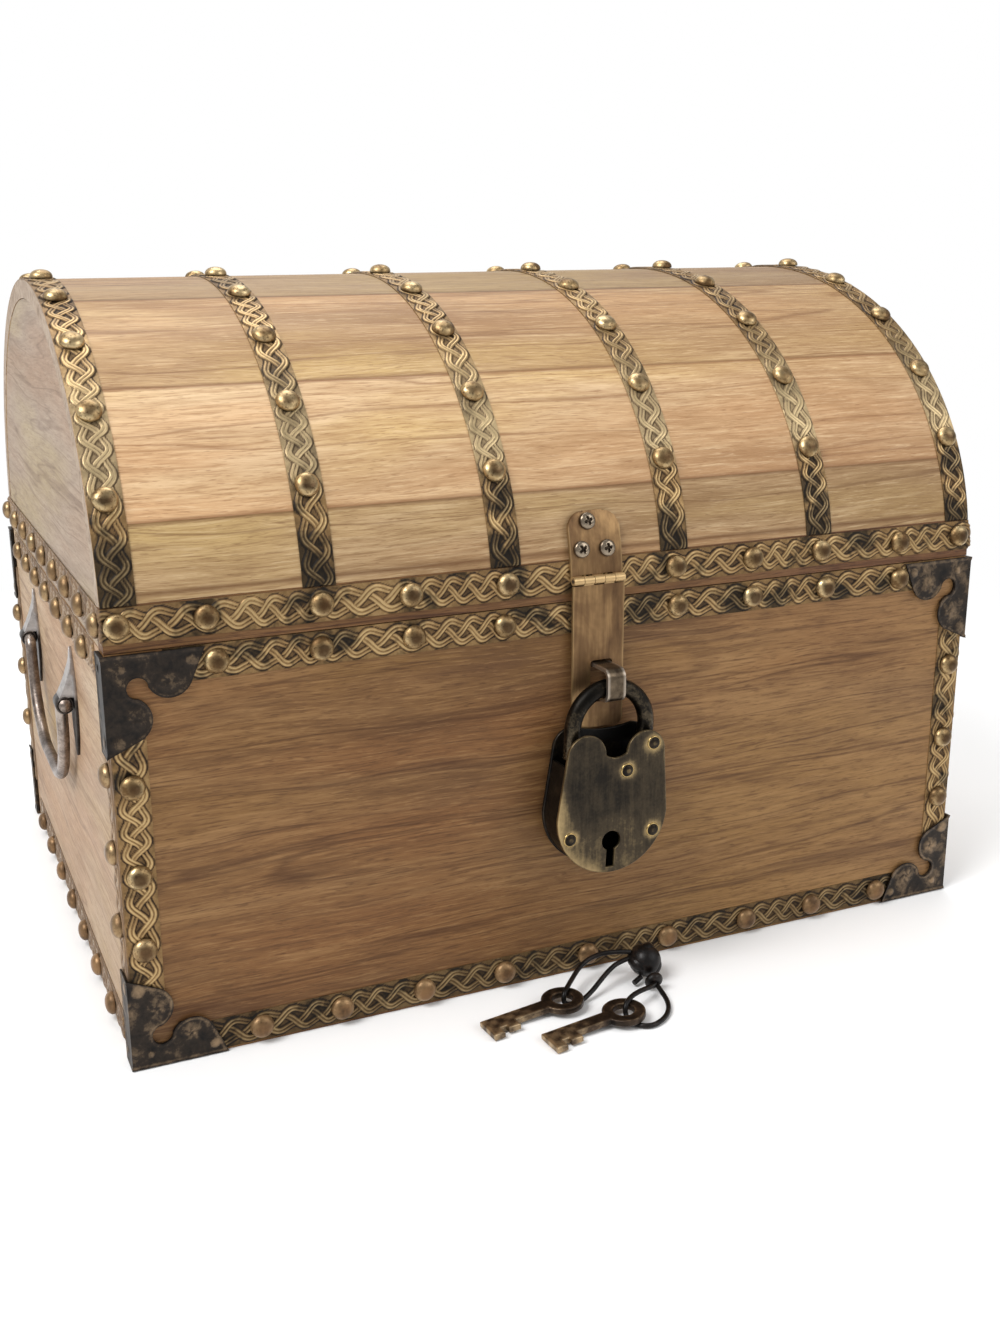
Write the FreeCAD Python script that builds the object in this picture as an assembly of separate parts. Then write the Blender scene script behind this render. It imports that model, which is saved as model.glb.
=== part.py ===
import FreeCAD, Part
import math
import os

# Overall sizes. The origin is the centre of the underside and the front faces -Y.
chest_width = 450.0
chest_depth = 340.0
case_height = 190.0
lid_rise = 149.0

# Boards of the case and of the lid.
wall = 12.0
base_thickness = 9.0
stave_thickness = 9.0
rail_thickness = 12.0
end_thickness = 10.0
end_inset = 0.3
rail_share = 0.0417
stave_joint_shares = (0.111, 0.242, 0.381, 0.5, 0.619, 0.758, 0.889)

# Clearances. One overrun serves every cut.
seam_gap = 0.4
seat_gap = 0.1
edge_gap = 0.3
running_gap = 0.05
swing_gap = 0.4
overrun = 5.0

# Brass strips and the iron corner plates.
band_width = 15.0
band_thickness = 1.2
lid_lip = 6.1
bottom_margin = 1.0
plate_thickness = 1.1
bracket_reach = 44.0
bracket_web = 11.6
bracket_root = 19.5
bracket_waist = 15.0
bracket_lobe = 20.4
bracket_lobe_place = 29.0
bracket_shoulder = 37.5
bracket_shoulder_drop = 14.8
bracket_flange = 12.0

# Dome-headed nails, few-sided because there are so many.
nail_width = 11.0
nail_height = 3.4
nail_sides = 6
nail_brow_width_share = 0.82
nail_brow_height_share = 0.55
nail_crown_width_share = 0.36

# Places of the nails, as shares of the width, the depth, the height or the half turn.
band_place_shares = (0.017, 0.208, 0.405, 0.602, 0.789, 0.983)
lid_front_shares = (0.013, 0.096, 0.208, 0.300, 0.405, 0.602, 0.699, 0.789, 0.898, 0.983)
case_front_shares = (0.103, 0.206, 0.302, 0.401, 0.605, 0.700, 0.797, 0.900)
bottom_front_shares = (0.128, 0.214, 0.306, 0.400, 0.502, 0.605, 0.711, 0.803, 0.898)
lid_back_shares = (0.013, 0.102, 0.208, 0.405, 0.5, 0.602, 0.789, 0.898, 0.983)
case_back_shares = (0.103, 0.206, 0.401, 0.5, 0.605, 0.797, 0.900)
lid_side_shares = (0.02, 0.14, 0.26, 0.38, 0.5, 0.62, 0.74, 0.86, 0.98)
case_side_shares = (0.14, 0.26, 0.38, 0.5, 0.62, 0.74, 0.86)
corner_front_shares = (0.695, 0.48, 0.30)
corner_side_shares = (0.715, 0.53, 0.35)
dome_nail_first_share = 0.1333
dome_nail_step_share = 0.0841
dome_nail_count = 10

# Hasp: a leaf on the lid, a slotted strap and the pin between them.
hasp_centre = 2.4
hasp_width = 27.0
hasp_thickness = 1.4
hasp_leaf_height = 31.0
hasp_leaf_corner = 8.5
hasp_barrel_radius = 2.0
hasp_pin_radius = 0.9
hasp_barrel_height = 9.8
hasp_barrel_parts = 5
strap_length = 71.6
strap_corner = 4.0
slot_width = 11.6
slot_top = 38.6
slot_length = 20.6
slot_corner = 1.5
screw_head_radius = 4.0
screw_head_height = 2.4
screw_shank_radius = 1.5
screw_across_shares = (-0.122, -0.278, 0.215)
screw_height_shares = (0.848, 0.447, 0.437)

# Staple: a flat bar bent to an eye and clinched inside the front board.
staple_centre = 4.2
staple_width = 9.4
staple_thickness = 1.6
staple_reach = 19.3
staple_eye_height = 13.0
staple_rise = 4.7
staple_clinch = 7.0
staple_bend = 3.0

# Padlock, hung from the staple and leaning a little to one side.
lock_centre = 5.2
lock_lean = 3.0
lock_depth_centre = 13.3
shackle_depth_centre = 12.9
shackle_rod = 7.8
shackle_width = 47.0
shackle_bar_gap = 1.0
shackle_free_leg = 33.4
shackle_notch = 1.4
shackle_eye_radius = 4.4
shackle_eye_width = 8.0
lock_half_width = 29.4
lock_half_depth = 8.4
lock_plate = 1.8
lock_wall = 1.5
lock_wall_inset = 0.6
lobe_radius = 10.2
lobe_centre = 15.8
lobe_drop = 30.6
notch_drop = 32.4
back_dip = 2.2
belly_drop = 60.9
belly_depth = 28.8
pivot_drop = 26.8
wall_open_drop = 35.6
rivet_radius = 1.5
rivet_head_radius = 3.3
rivet_head_height = 1.0
rivet_middle_across = 6.1
rivet_middle_drop = 39.1
rivet_low_across = 22.3
rivet_low_drop = 70.6
keyhole_radius = 4.9
keyhole_drop = 73.7
keyhole_slit = 4.3
keyhole_length = 13.2
bolt_length = 15.0
bolt_height = 5.0
bolt_depth = 5.0
bolt_drop = 36.5

# Lid hinges on the back.
hinge_place = 87.0
hinge_width = 30.0
hinge_leaf_height = 25.0
hinge_thickness = 1.4
hinge_barrel_radius = 3.0
hinge_pin_radius = 1.4
hinge_barrel_parts = 3
hinge_pin_head = 1.2

# Drop handles on both ends.
handle_gap = 5.0
handle_spacing = 140.0
handle_plate_length = 55.0
handle_plate_width = 16.0
handle_plate_thickness = 1.5
handle_barrel_radius = 4.3
handle_barrel_length = 12.0
bail_rod = 6.0
bail_drop = 57.0
bail_corner = 34.0
bail_bend = 4.5
bail_pin_spare = 1.0

# Keys on a knotted cord, lying in front.
key_thickness = 3.2
bow_radius = 10.2
bow_hole_radius = 4.8
shank_width = 7.5
key_length = 42.6
bit_length = 15.0
bit_depth = 6.5
bit_tip = 5.6
bit_notch = 3.2
bit_notch_depth = 2.0
bit_tooth_depth = 4.4
key_tilt = 3.4
left_key_place = (-28.7, -200.6)
left_key_angle = 184.5
right_key_place = (-7.6, -221.5)
right_key_angle = 184.5
cord_radius = 1.2
cord_bend_share = 0.45
knot_radius = 9.4
knot_place = (22.0, -191.0, 9.5)
knot_lump_radius = 6.2
knot_lump_place = (24.0, -197.0, 6.3)
knot_end_radius = 1.3
knot_end_start = (17.5, -195.0, 3.6)
knot_end_tip = (9.6, -194.8, 1.6)
left_loop = (
    (15.5, -187.5, 10.0), (6.0, -181.6, 10.4), (-3.0, -180.6, 9.9), (-10.5, -183.8, 8.8), (-16.5, -188.6, 8.0),
    (-22.2, -194.1, 7.6), (-27.6, -199.5, 7.3), (-27.8, -199.9, 1.35), (-19.5, -200.9, 1.35), (-12.0, -197.8, 3.4),
    (-5.0, -193.4, 5.8), (1.5, -189.4, 7.8), (8.2, -187.6, 8.8), (15.0, -189.6, 8.4),
)
right_loop = (
    (22.5, -199.5, 5.6), (17.5, -205.4, 5.9), (11.8, -209.6, 6.7), (5.6, -212.8, 7.5), (-0.6, -215.8, 7.8),
    (-6.3, -220.2, 7.3), (-6.8, -221.4, 1.35), (-5.2, -230.0, 1.35), (0.6, -233.2, 1.35), (8.6, -230.2, 1.35),
    (14.9, -224.2, 1.4), (18.4, -216.0, 1.7), (20.6, -207.8, 2.7), (22.8, -200.0, 4.8),
)

# Lengths worked out from the sizes above.
half_width = chest_width / 2
half_depth = chest_depth / 2
seam_height = case_height + seam_gap
band_low = seam_height + lid_lip
band_high = band_low + band_width
trim_face = band_thickness + seat_gap
hasp_barrel_z = seam_height + hasp_barrel_height
staple_eye_bottom = hasp_barrel_z - slot_top - slot_length + staple_rise
shackle_bar_height = staple_eye_bottom + shackle_rod / 2 + shackle_bar_gap
handle_height = case_height - band_width - handle_gap - handle_plate_length / 2
x_axis = FreeCAD.Vector(1, 0, 0)
y_axis = FreeCAD.Vector(0, 1, 0)
z_axis = FreeCAD.Vector(0, 0, 1)
half_turn = 180.0


def vec(x, y, z):
    return FreeCAD.Vector(x, y, z)


def box(x_span, y_span, z_span):
    low = vec(min(x_span), min(y_span), min(z_span))
    high = vec(max(x_span), max(y_span), max(z_span))
    size = high - low
    return Part.makeBox(size.x, size.y, size.z, low)


def line(start, end):
    return Part.LineSegment(start, end).toShape()


def arc(start, middle, end):
    return Part.Arc(start, middle, end).toShape()


def face_of(edges):
    return Part.Face(Part.Wire(Part.__sortEdges__(edges)))


def mirrored_x(shape):
    return shape.mirror(vec(0, 0, 0), x_axis)


def mirrored_y(shape):
    return shape.mirror(vec(0, 0, 0), y_axis)


def turned(shape, centre, axis, degrees):
    copy = shape.copy()
    copy.rotate(centre, axis, degrees)
    return copy


def rounded_path(points, radii):
    """Straight runs joined by tangent arcs, one radius for each inner point."""
    edges = []
    start = points[0]
    for before, corner, after, radius in zip(points, points[1:], points[2:], radii):
        back = (before - corner).normalize()
        ahead = (after - corner).normalize()
        half_angle = back.getAngle(ahead) / 2
        reach = radius / math.tan(half_angle)
        into = corner + back * reach
        out = corner + ahead * reach
        bisector = (back + ahead).normalize()
        middle = corner + bisector * (radius / math.sin(half_angle) - radius)
        if start.distanceToPoint(into) > Part.Precision.confusion() * 1000:
            edges.append(line(start, into))
        edges.append(arc(into, middle, out))
        start = out
    edges.append(line(start, points[-1]))
    return Part.Wire(edges)


def tube(path, radius):
    start = path.Edges[0]
    direction = start.tangentAt(start.FirstParameter)
    circle = Part.makeCircle(radius, start.valueAt(start.FirstParameter), direction)
    return path.makePipeShell([Part.Wire([circle])], True, False)


# The lid's curve is half an ellipse that stands on the seam. A turn share of 0 is the
# front foot, a half is the crown and 1 is the back foot.
def dome_point(offset, share, x):
    angle = math.pi * share
    across = (half_depth + offset) * math.cos(angle)
    up = (lid_rise + offset) * math.sin(angle)
    return vec(x, -across, seam_height + up)


def dome_normal(share):
    angle = math.pi * share
    return vec(0, -math.cos(angle) / half_depth, math.sin(angle) / lid_rise).normalize()


def share_at(height, offset=0):
    return math.asin((height - seam_height) / (lid_rise + offset)) / math.pi


def dome_arc(offset, start_share, end_share, x):
    deep = half_depth + offset
    high = lid_rise + offset
    centre = vec(x, 0, seam_height)
    front = vec(x, -deep, seam_height)
    crown = vec(x, 0, seam_height + high)
    start = math.pi * start_share
    end = math.pi * end_share
    if deep >= high:
        return Part.ArcOfEllipse(Part.Ellipse(front, crown, centre), start, end).toShape()
    quarter = math.pi / 2
    return Part.ArcOfEllipse(Part.Ellipse(crown, front, centre), quarter - end, quarter - start).toShape()


def dome_strip(start_share, end_share, inner, outer, x_start, x_end):
    ends = []
    for share in (start_share, end_share):
        ends.append(line(dome_point(inner, share, x_start), dome_point(outer, share, x_start)))
    arcs = []
    for offset in (inner, outer):
        arcs.append(dome_arc(offset, start_share, end_share, x_start))
    return face_of(ends + arcs).extrude(vec(x_end - x_start, 0, 0))


# Case boards.
def front_board():
    board = box((-half_width, half_width), (-half_depth, wall - half_depth), (0, case_height))
    low = staple_eye_bottom - staple_thickness
    high = staple_eye_bottom + staple_eye_height
    for bottom in (low, high):
        x_span = (staple_centre - staple_width / 2 - seat_gap, staple_centre + staple_width / 2 + seat_gap)
        z_span = (bottom - seat_gap, bottom + staple_thickness + seat_gap)
        board = board.cut(box(x_span, (-half_depth - overrun, wall + overrun - half_depth), z_span))
    return board


def back_board():
    return box((-half_width, half_width), (half_depth - wall, half_depth), (0, case_height))


def side_board():
    return box((-half_width, wall - half_width), (wall - half_depth, half_depth - wall), (0, case_height))


def base_board():
    inner_width = half_width - wall
    inner_depth = half_depth - wall
    return box((-inner_width, inner_width), (-inner_depth, inner_depth), (0, base_thickness))


# Strips on the case: a level strip is laid on the front and turned or mirrored for the rest.
def front_strip(z_low):
    reach = half_width - band_width - edge_gap
    return box((-reach, reach), (-half_depth - band_thickness, -half_depth), (z_low, z_low + band_width))


def side_strip(z_low):
    reach = half_depth - band_width - edge_gap
    return box((-half_width - band_thickness, -half_width), (-reach, reach), (z_low, z_low + band_width))


def corner_strip():
    z_span = (edge_gap, case_height - edge_gap)
    outer_x = -half_width - band_thickness
    outer_y = -half_depth - band_thickness
    front = box((outer_x, band_width - half_width), (outer_y, -half_depth), z_span)
    side = box((outer_x, -half_width), (outer_y, band_width - half_depth), z_span)
    return front.fuse(side).removeSplitter()


def bracket():
    """Two-lobed corner plate at the top left of the front, with a flange on the side."""
    x_edge = -half_width - trim_face - plate_thickness
    y_face = -half_depth - trim_face
    z_edge = case_height - edge_gap

    def spot(along, down):
        return vec(x_edge + along, y_face, z_edge - down)

    arm_end = spot(bracket_reach, 0)
    arm_side = spot(bracket_shoulder, bracket_shoulder_drop)
    arm_lobe = spot(bracket_lobe_place, bracket_lobe)
    arm_root = spot(bracket_root, bracket_waist)
    foot_root = spot(bracket_waist, bracket_root)
    foot_lobe = spot(bracket_lobe, bracket_lobe_place)
    foot_side = spot(bracket_shoulder_drop, bracket_shoulder)
    foot_end = spot(0, bracket_reach)
    edges = [
        line(spot(0, 0), arm_end), line(arm_end, arm_side), arc(arm_side, arm_lobe, arm_root),
        arc(arm_root, spot(bracket_web, bracket_web), foot_root), arc(foot_root, foot_lobe, foot_side),
        line(foot_side, foot_end), line(foot_end, spot(0, 0)),
    ]
    plate = face_of(edges).extrude(vec(0, -plate_thickness, 0))
    flange = box(
        (x_edge, x_edge + plate_thickness),
        (y_face - plate_thickness, y_face + bracket_flange),
        (z_edge - bracket_reach, z_edge),
    )
    return plate.fuse(flange).removeSplitter()


def bracket_low():
    """The same plate turned over for a bottom corner."""
    middle = case_height / 2
    return bracket().mirror(vec(0, 0, middle), z_axis)


def four_corners(piece):
    left = [piece, mirrored_y(piece)]
    return left + [mirrored_x(each) for each in left]


# Nails.
def nail(place, normal):
    """A dome head of flat facets."""
    levels = (
        (nail_width / 2, 0),
        (nail_width / 2 * nail_brow_width_share, nail_height * nail_brow_height_share),
        (nail_width / 2 * nail_crown_width_share, nail_height),
    )
    rings = []
    for radius, height in levels:
        ring = []
        for index in range(nail_sides):
            angle = 2 * math.pi * index / nail_sides
            ring.append(vec(radius * math.cos(angle), radius * math.sin(angle), height))
        rings.append(ring)
    faces = [flat_face(rings[0]), flat_face(rings[-1])]
    for lower, upper in zip(rings, rings[1:]):
        for index in range(nail_sides):
            last = index - 1
            faces.append(flat_face([lower[last], lower[index], upper[index], upper[last]]))
    head = Part.Solid(Part.Shell(faces))
    head.fix(Part.Precision.confusion(), Part.Precision.confusion(), Part.Precision.confusion())
    head.Placement = FreeCAD.Placement(place, FreeCAD.Rotation(z_axis, normal))
    return head


def flat_face(corners):
    return Part.Face(Part.makePolygon(corners + corners[:1]))


def case_nails():
    face_y = half_depth + band_thickness
    face_x = half_width + band_thickness
    top = case_height - band_width / 2
    bottom = bottom_margin + band_width / 2
    heads = []
    for shares, side, height in (
        (case_front_shares, -1, top), (bottom_front_shares, -1, bottom),
        (case_back_shares, 1, top), (bottom_front_shares, 1, bottom),
    ):
        for share in shares:
            place = vec(chest_width * share - half_width, side * face_y, height)
            heads.append(nail(place, vec(0, side, 0)))
    for side in (-1, 1):
        for height in (top, bottom):
            for share in case_side_shares:
                place = vec(side * face_x, chest_depth * share - half_depth, height)
                heads.append(nail(place, vec(side, 0, 0)))
        for end in (-1, 1):
            for share in corner_front_shares:
                place = vec(side * (half_width - band_width / 2), end * face_y, case_height * share)
                heads.append(nail(place, vec(0, end, 0)))
            for share in corner_side_shares:
                place = vec(side * face_x, end * (half_depth - band_width / 2), case_height * share)
                heads.append(nail(place, vec(side, 0, 0)))
    return heads


def lid_nails():
    middle = share_at((band_low + band_high) / 2)
    seat = trim_face + seat_gap
    heads = []
    for share in lid_front_shares:
        place = dome_point(seat, middle, chest_width * share - half_width)
        heads.append(nail(place, dome_normal(middle)))
    for share in lid_back_shares:
        place = dome_point(seat, 1 - middle, chest_width * share - half_width)
        heads.append(nail(place, dome_normal(1 - middle)))
    for side in (-1, 1):
        for share in lid_side_shares:
            across = chest_depth * share - half_depth
            place = vec(side * (half_width + trim_face), across, (band_low + band_high) / 2)
            heads.append(nail(place, vec(side, 0, 0)))
    for place_share in band_place_shares:
        for index in range(dome_nail_count):
            share = dome_nail_first_share + dome_nail_step_share * index
            place = dome_point(seat, share, chest_width * place_share - half_width)
            heads.append(nail(place, dome_normal(share)))
    return heads


# Lid boards and strips.
def lid_boards():
    shares = (0, rail_share) + stave_joint_shares + (1 - rail_share, 1)
    boards = {}
    last = len(shares) - 2
    for index in range(last + 1):
        if index in (0, last):
            name = "lid_front_rail" if index == 0 else "lid_back_rail"
            thickness = rail_thickness
        else:
            name = "lid_stave_%d" % index
            thickness = stave_thickness
        boards[name] = dome_strip(shares[index], shares[index + 1], -thickness, 0, -half_width, half_width)
    return boards


def lid_end():
    """Arched board that fits inside the rails and the staves."""
    x_out = end_inset - half_width
    x_in = x_out + end_thickness
    foot = -rail_thickness - edge_gap
    roof = -stave_thickness - edge_gap
    head = face_of([
        dome_arc(roof, 0, 1, x_out), line(dome_point(roof, 0, x_out), dome_point(roof, 1, x_out)),
    ]).extrude(vec(end_thickness, 0, 0))
    rail_top = share_at(dome_point(0, rail_share, x_out).z + edge_gap)
    rail_room = dome_strip(0, rail_top, foot, overrun, x_out - overrun, x_in + overrun)
    return head.cut([rail_room, mirrored_y(rail_room)])


def lid_strip():
    """One strip bent round the foot of the lid."""
    start = share_at(band_low)
    end = share_at(band_high)
    reach = half_width + seat_gap + band_thickness
    front = dome_strip(start, end, seat_gap, trim_face, -reach, reach)
    side = face_of([
        dome_arc(trim_face, start, end, -reach), dome_arc(trim_face, 1 - end, 1 - start, -reach),
        line(dome_point(trim_face, start, -reach), dome_point(trim_face, 1 - start, -reach)),
        line(dome_point(trim_face, end, -reach), dome_point(trim_face, 1 - end, -reach)),
    ]).extrude(vec(band_thickness, 0, 0))
    ring = front.fuse([mirrored_y(front), side, mirrored_x(side)])
    return ring.removeSplitter()


def dome_strips():
    start = share_at(band_high + edge_gap)
    strips = {}
    for index, share in enumerate(band_place_shares):
        middle = chest_width * share - half_width
        low_x = middle - band_width / 2
        strips["dome_band_%d" % (index + 1)] = dome_strip(
            start, 1 - start, seat_gap, trim_face, low_x, low_x + band_width)
    return strips


# Hinges: leaves with alternate barrel parts on one pin.
def barrel_spans(centre, width, parts, first):
    part_width = width / parts
    low = centre - width / 2
    spans = []
    for index in range(first, parts, 2):
        start = low + part_width * index
        spans.append((start + edge_gap / 2, start + part_width - edge_gap / 2))
    return spans


def rod_along_x(radius, x_span, y, z):
    return Part.makeCylinder(radius, x_span[1] - x_span[0], vec(x_span[0], y, z), x_axis)


def knuckled(plate, spans, y, z, radius, pin_radius, tab_y, tab_z):
    """Adds barrel parts and the tabs that join them to a leaf, and bores them."""
    pieces = []
    for span in spans:
        pieces.append(rod_along_x(radius, span, y, z))
        pieces.append(box(span, tab_y, tab_z))
    whole = plate.fuse(pieces)
    low = min(span[0] for span in spans) - overrun
    high = max(span[1] for span in spans) + overrun
    bore = rod_along_x(pin_radius + running_gap, (low, high), y, z)
    return whole.cut(bore).removeSplitter()


hasp_barrel_y = -half_depth - trim_face - swing_gap - hasp_barrel_radius
leaf_inner = trim_face + seat_gap
leaf_outer = leaf_inner + hasp_thickness


def curved_leaf(centre, width, low, high, back):
    """Sheet bent to the foot of the lid, on the front or on the back."""
    start = share_at(low, leaf_outer)
    end = share_at(high, leaf_inner)
    shares = (1 - end, 1 - start) if back else (start, end)
    return dome_strip(*shares, leaf_inner, leaf_outer, centre - width / 2, centre + width / 2)


def notched(sheet, spans, z, radius):
    """Room in a leaf for the other leaf's barrel parts."""
    room = radius + swing_gap
    for start, end in spans:
        x_span = (start - edge_gap, end + edge_gap)
        sheet = sheet.cut(box(x_span, (-chest_depth, chest_depth), (z - room, z + room)))
    return sheet


def hasp_leaf():
    high = hasp_barrel_z + hasp_leaf_height
    sheet = curved_leaf(hasp_centre, hasp_width, hasp_barrel_z, high, False)
    for side in (-1, 1):
        edge_x = hasp_centre + side * hasp_width / 2
        round_x = edge_x - side * hasp_leaf_corner
        round_z = high - hasp_leaf_corner
        corner = box((round_x, edge_x + side * overrun), (-chest_depth, 0), (round_z, high + overrun))
        start = vec(round_x, -chest_depth, round_z)
        sheet = sheet.cut(corner.cut(Part.makeCylinder(hasp_leaf_corner, chest_depth, start, y_axis)))
    for across, up in zip(screw_across_shares, screw_height_shares):
        seat, normal = screw_seat(across, up)
        start = seat - normal * overrun
        sheet = sheet.cut(Part.makeCylinder(screw_shank_radius + running_gap, 2 * overrun, start, normal))
    strap_spans = barrel_spans(hasp_centre, hasp_width, hasp_barrel_parts, 1)
    sheet = notched(sheet, strap_spans, hasp_barrel_z, hasp_barrel_radius)
    spans = barrel_spans(hasp_centre, hasp_width, hasp_barrel_parts, 0)
    tab_y = (-half_depth - leaf_inner, -half_depth - leaf_outer)
    tab_z = (hasp_barrel_z, hasp_barrel_z + hasp_barrel_radius / 2)
    return knuckled(sheet, spans, hasp_barrel_y, hasp_barrel_z, hasp_barrel_radius,
                    hasp_pin_radius, tab_y, tab_z)


def screw_seat(across, up):
    """Place of a screw's head on the leaf, and the way it faces."""
    share = share_at(hasp_barrel_z + hasp_leaf_height * up, leaf_inner)
    return dome_point(leaf_outer, share, hasp_centre + hasp_width * across), dome_normal(share)


def hasp_screw(seat, normal):
    """Domed head on a round shank."""
    head = Part.makeCylinder(screw_head_radius, screw_head_height)
    dome_radius = screw_head_radius * 2
    dome = Part.makeSphere(dome_radius, vec(0, 0, screw_head_height - dome_radius))
    shank = Part.makeCylinder(screw_shank_radius, hasp_thickness + seat_gap, vec(0, 0, -hasp_thickness))
    screw = head.common(dome).fuse(shank).removeSplitter()
    screw.Placement = FreeCAD.Placement(seat + normal * seat_gap, FreeCAD.Rotation(z_axis, normal))
    return screw


def hasp_screws():
    return [hasp_screw(*screw_seat(across, up)) for across, up in zip(screw_across_shares, screw_height_shares)]


def hasp_strap():
    left = hasp_centre - hasp_width / 2
    right = hasp_centre + hasp_width / 2
    top = hasp_barrel_z - hasp_barrel_radius - swing_gap
    bottom = hasp_barrel_z - strap_length
    y_span = (hasp_barrel_y - hasp_thickness / 2, hasp_barrel_y + hasp_thickness / 2)
    sheet = box((left, right), y_span, (bottom, top))
    lower = [edge for edge in sheet.Edges if is_upright(edge, y_axis) and edge.CenterOfMass.z < bottom + seat_gap]
    sheet = sheet.makeFillet(strap_corner, lower)
    slot_z = (hasp_barrel_z - slot_top - slot_length, hasp_barrel_z - slot_top)
    slot_x = (staple_centre - slot_width / 2, staple_centre + slot_width / 2)
    hole = box(slot_x, (y_span[0] - overrun, y_span[1] + overrun), slot_z)
    hole = hole.makeFillet(slot_corner, [edge for edge in hole.Edges if is_upright(edge, y_axis)])
    spans = barrel_spans(hasp_centre, hasp_width, hasp_barrel_parts, 1)
    return knuckled(sheet.cut(hole), spans, hasp_barrel_y, hasp_barrel_z, hasp_barrel_radius,
                    hasp_pin_radius, y_span, (hasp_barrel_z, top - overrun / 2))


def is_upright(edge, axis):
    """True for a straight edge that runs along the axis."""
    return abs(edge.tangentAt(edge.FirstParameter).dot(axis)) > math.cos(math.radians(1))


def hasp_pin():
    span = (hasp_centre - hasp_width / 2, hasp_centre + hasp_width / 2)
    return rod_along_x(hasp_pin_radius, span, hasp_barrel_y, hasp_barrel_z)


hinge_y = half_depth + trim_face + swing_gap + hinge_barrel_radius
hinge_z = case_height + seam_gap / 2


def case_hinge_leaf(centre):
    inner = half_depth + trim_face
    outer = inner + hinge_thickness
    top = hinge_z - hinge_barrel_radius - swing_gap
    sheet = box((centre - hinge_width / 2, centre + hinge_width / 2), (inner, outer), (hinge_z - hinge_leaf_height, top))
    spans = barrel_spans(centre, hinge_width, hinge_barrel_parts, 0)
    return knuckled(sheet, spans, hinge_y, hinge_z, hinge_barrel_radius, hinge_pin_radius,
                    (inner, outer), (top - overrun / 2, hinge_z))


def lid_hinge_leaf(centre):
    sheet = curved_leaf(centre, hinge_width, hinge_z, hinge_z + hinge_leaf_height, True)
    case_spans = barrel_spans(centre, hinge_width, hinge_barrel_parts, 0)
    sheet = notched(sheet, case_spans, hinge_z, hinge_barrel_radius)
    spans = barrel_spans(centre, hinge_width, hinge_barrel_parts, 1)
    tab_y = (half_depth + leaf_inner, half_depth + leaf_outer)
    return knuckled(sheet, spans, hinge_y, hinge_z, hinge_barrel_radius, hinge_pin_radius,
                    tab_y, (hinge_z, hinge_z + hinge_barrel_radius / 2))


def hinge_pin(centre):
    low = centre - hinge_width / 2
    pin = rod_along_x(hinge_pin_radius, (low, low + hinge_width), hinge_y, hinge_z)
    head = rod_along_x(hinge_barrel_radius, (low - hinge_pin_head, low), hinge_y, hinge_z)
    return pin.fuse(head).removeSplitter()


# Staple.
def staple():
    low = staple_eye_bottom
    high = staple_eye_bottom + staple_eye_height
    inside = wall - half_depth
    front = -half_depth - staple_reach
    x_span = (staple_centre - staple_width / 2, staple_centre + staple_width / 2)
    outer = box(x_span, (front, inside), (low - staple_thickness, high + staple_thickness))
    outer = outer.makeFillet(staple_bend + staple_thickness, front_edges(outer, front))
    eye_front = front + staple_thickness
    eye = box((x_span[0] - overrun, x_span[1] + overrun), (eye_front, inside + overrun), (low, high))
    eye = eye.makeFillet(staple_bend, front_edges(eye, eye_front))
    tabs = []
    for start, end in ((low, low - staple_clinch), (high, high + staple_clinch)):
        tabs.append(box(x_span, (inside, inside + staple_thickness), (start, end)))
    return outer.cut(eye).fuse(tabs).removeSplitter()


def front_edges(shape, y):
    return [edge for edge in shape.Edges if is_upright(edge, x_axis) and abs(edge.CenterOfMass.y - y) < seat_gap]


# Padlock. Places are taken across from its centre line and down from the shackle's bar.
lock_y = -half_depth - lock_depth_centre
shackle_y = -half_depth - shackle_depth_centre
bar_centre = FreeCAD.Vector(lock_centre, shackle_y, shackle_bar_height)
leg_across = (shackle_width - shackle_rod) / 2


def lock_spot(across, drop, y=None):
    return vec(lock_centre + across, lock_y if y is None else y, shackle_bar_height - drop)


def leaned(shape):
    return turned(shape, bar_centre, y_axis, lock_lean)


def shackle():
    points = [
        lock_spot(-leg_across, shackle_free_leg, shackle_y), lock_spot(-leg_across, 0, shackle_y),
        lock_spot(leg_across, 0, shackle_y), lock_spot(leg_across, pivot_drop, shackle_y),
    ]
    rod = tube(rounded_path(points, [leg_across, leg_across]), shackle_rod / 2)
    eye_start = lock_spot(leg_across, pivot_drop, shackle_y - shackle_eye_width / 2)
    eye = Part.makeCylinder(shackle_eye_radius, shackle_eye_width, eye_start, y_axis)
    bore_start = lock_spot(leg_across, pivot_drop, shackle_y - shackle_eye_width)
    bore = Part.makeCylinder(rivet_radius + running_gap, 2 * shackle_eye_width, bore_start, y_axis)
    notch_x = lock_centre - leg_across + shackle_rod / 2
    notch = box(
        (notch_x - shackle_notch, notch_x + overrun),
        (shackle_y - shackle_rod, shackle_y + shackle_rod),
        (shackle_bar_height - shackle_free_leg + shackle_notch, shackle_bar_height - shackle_free_leg + bolt_height),
    )
    return leaned(rod.fuse(eye).cut(bore).cut(notch).removeSplitter())


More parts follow.
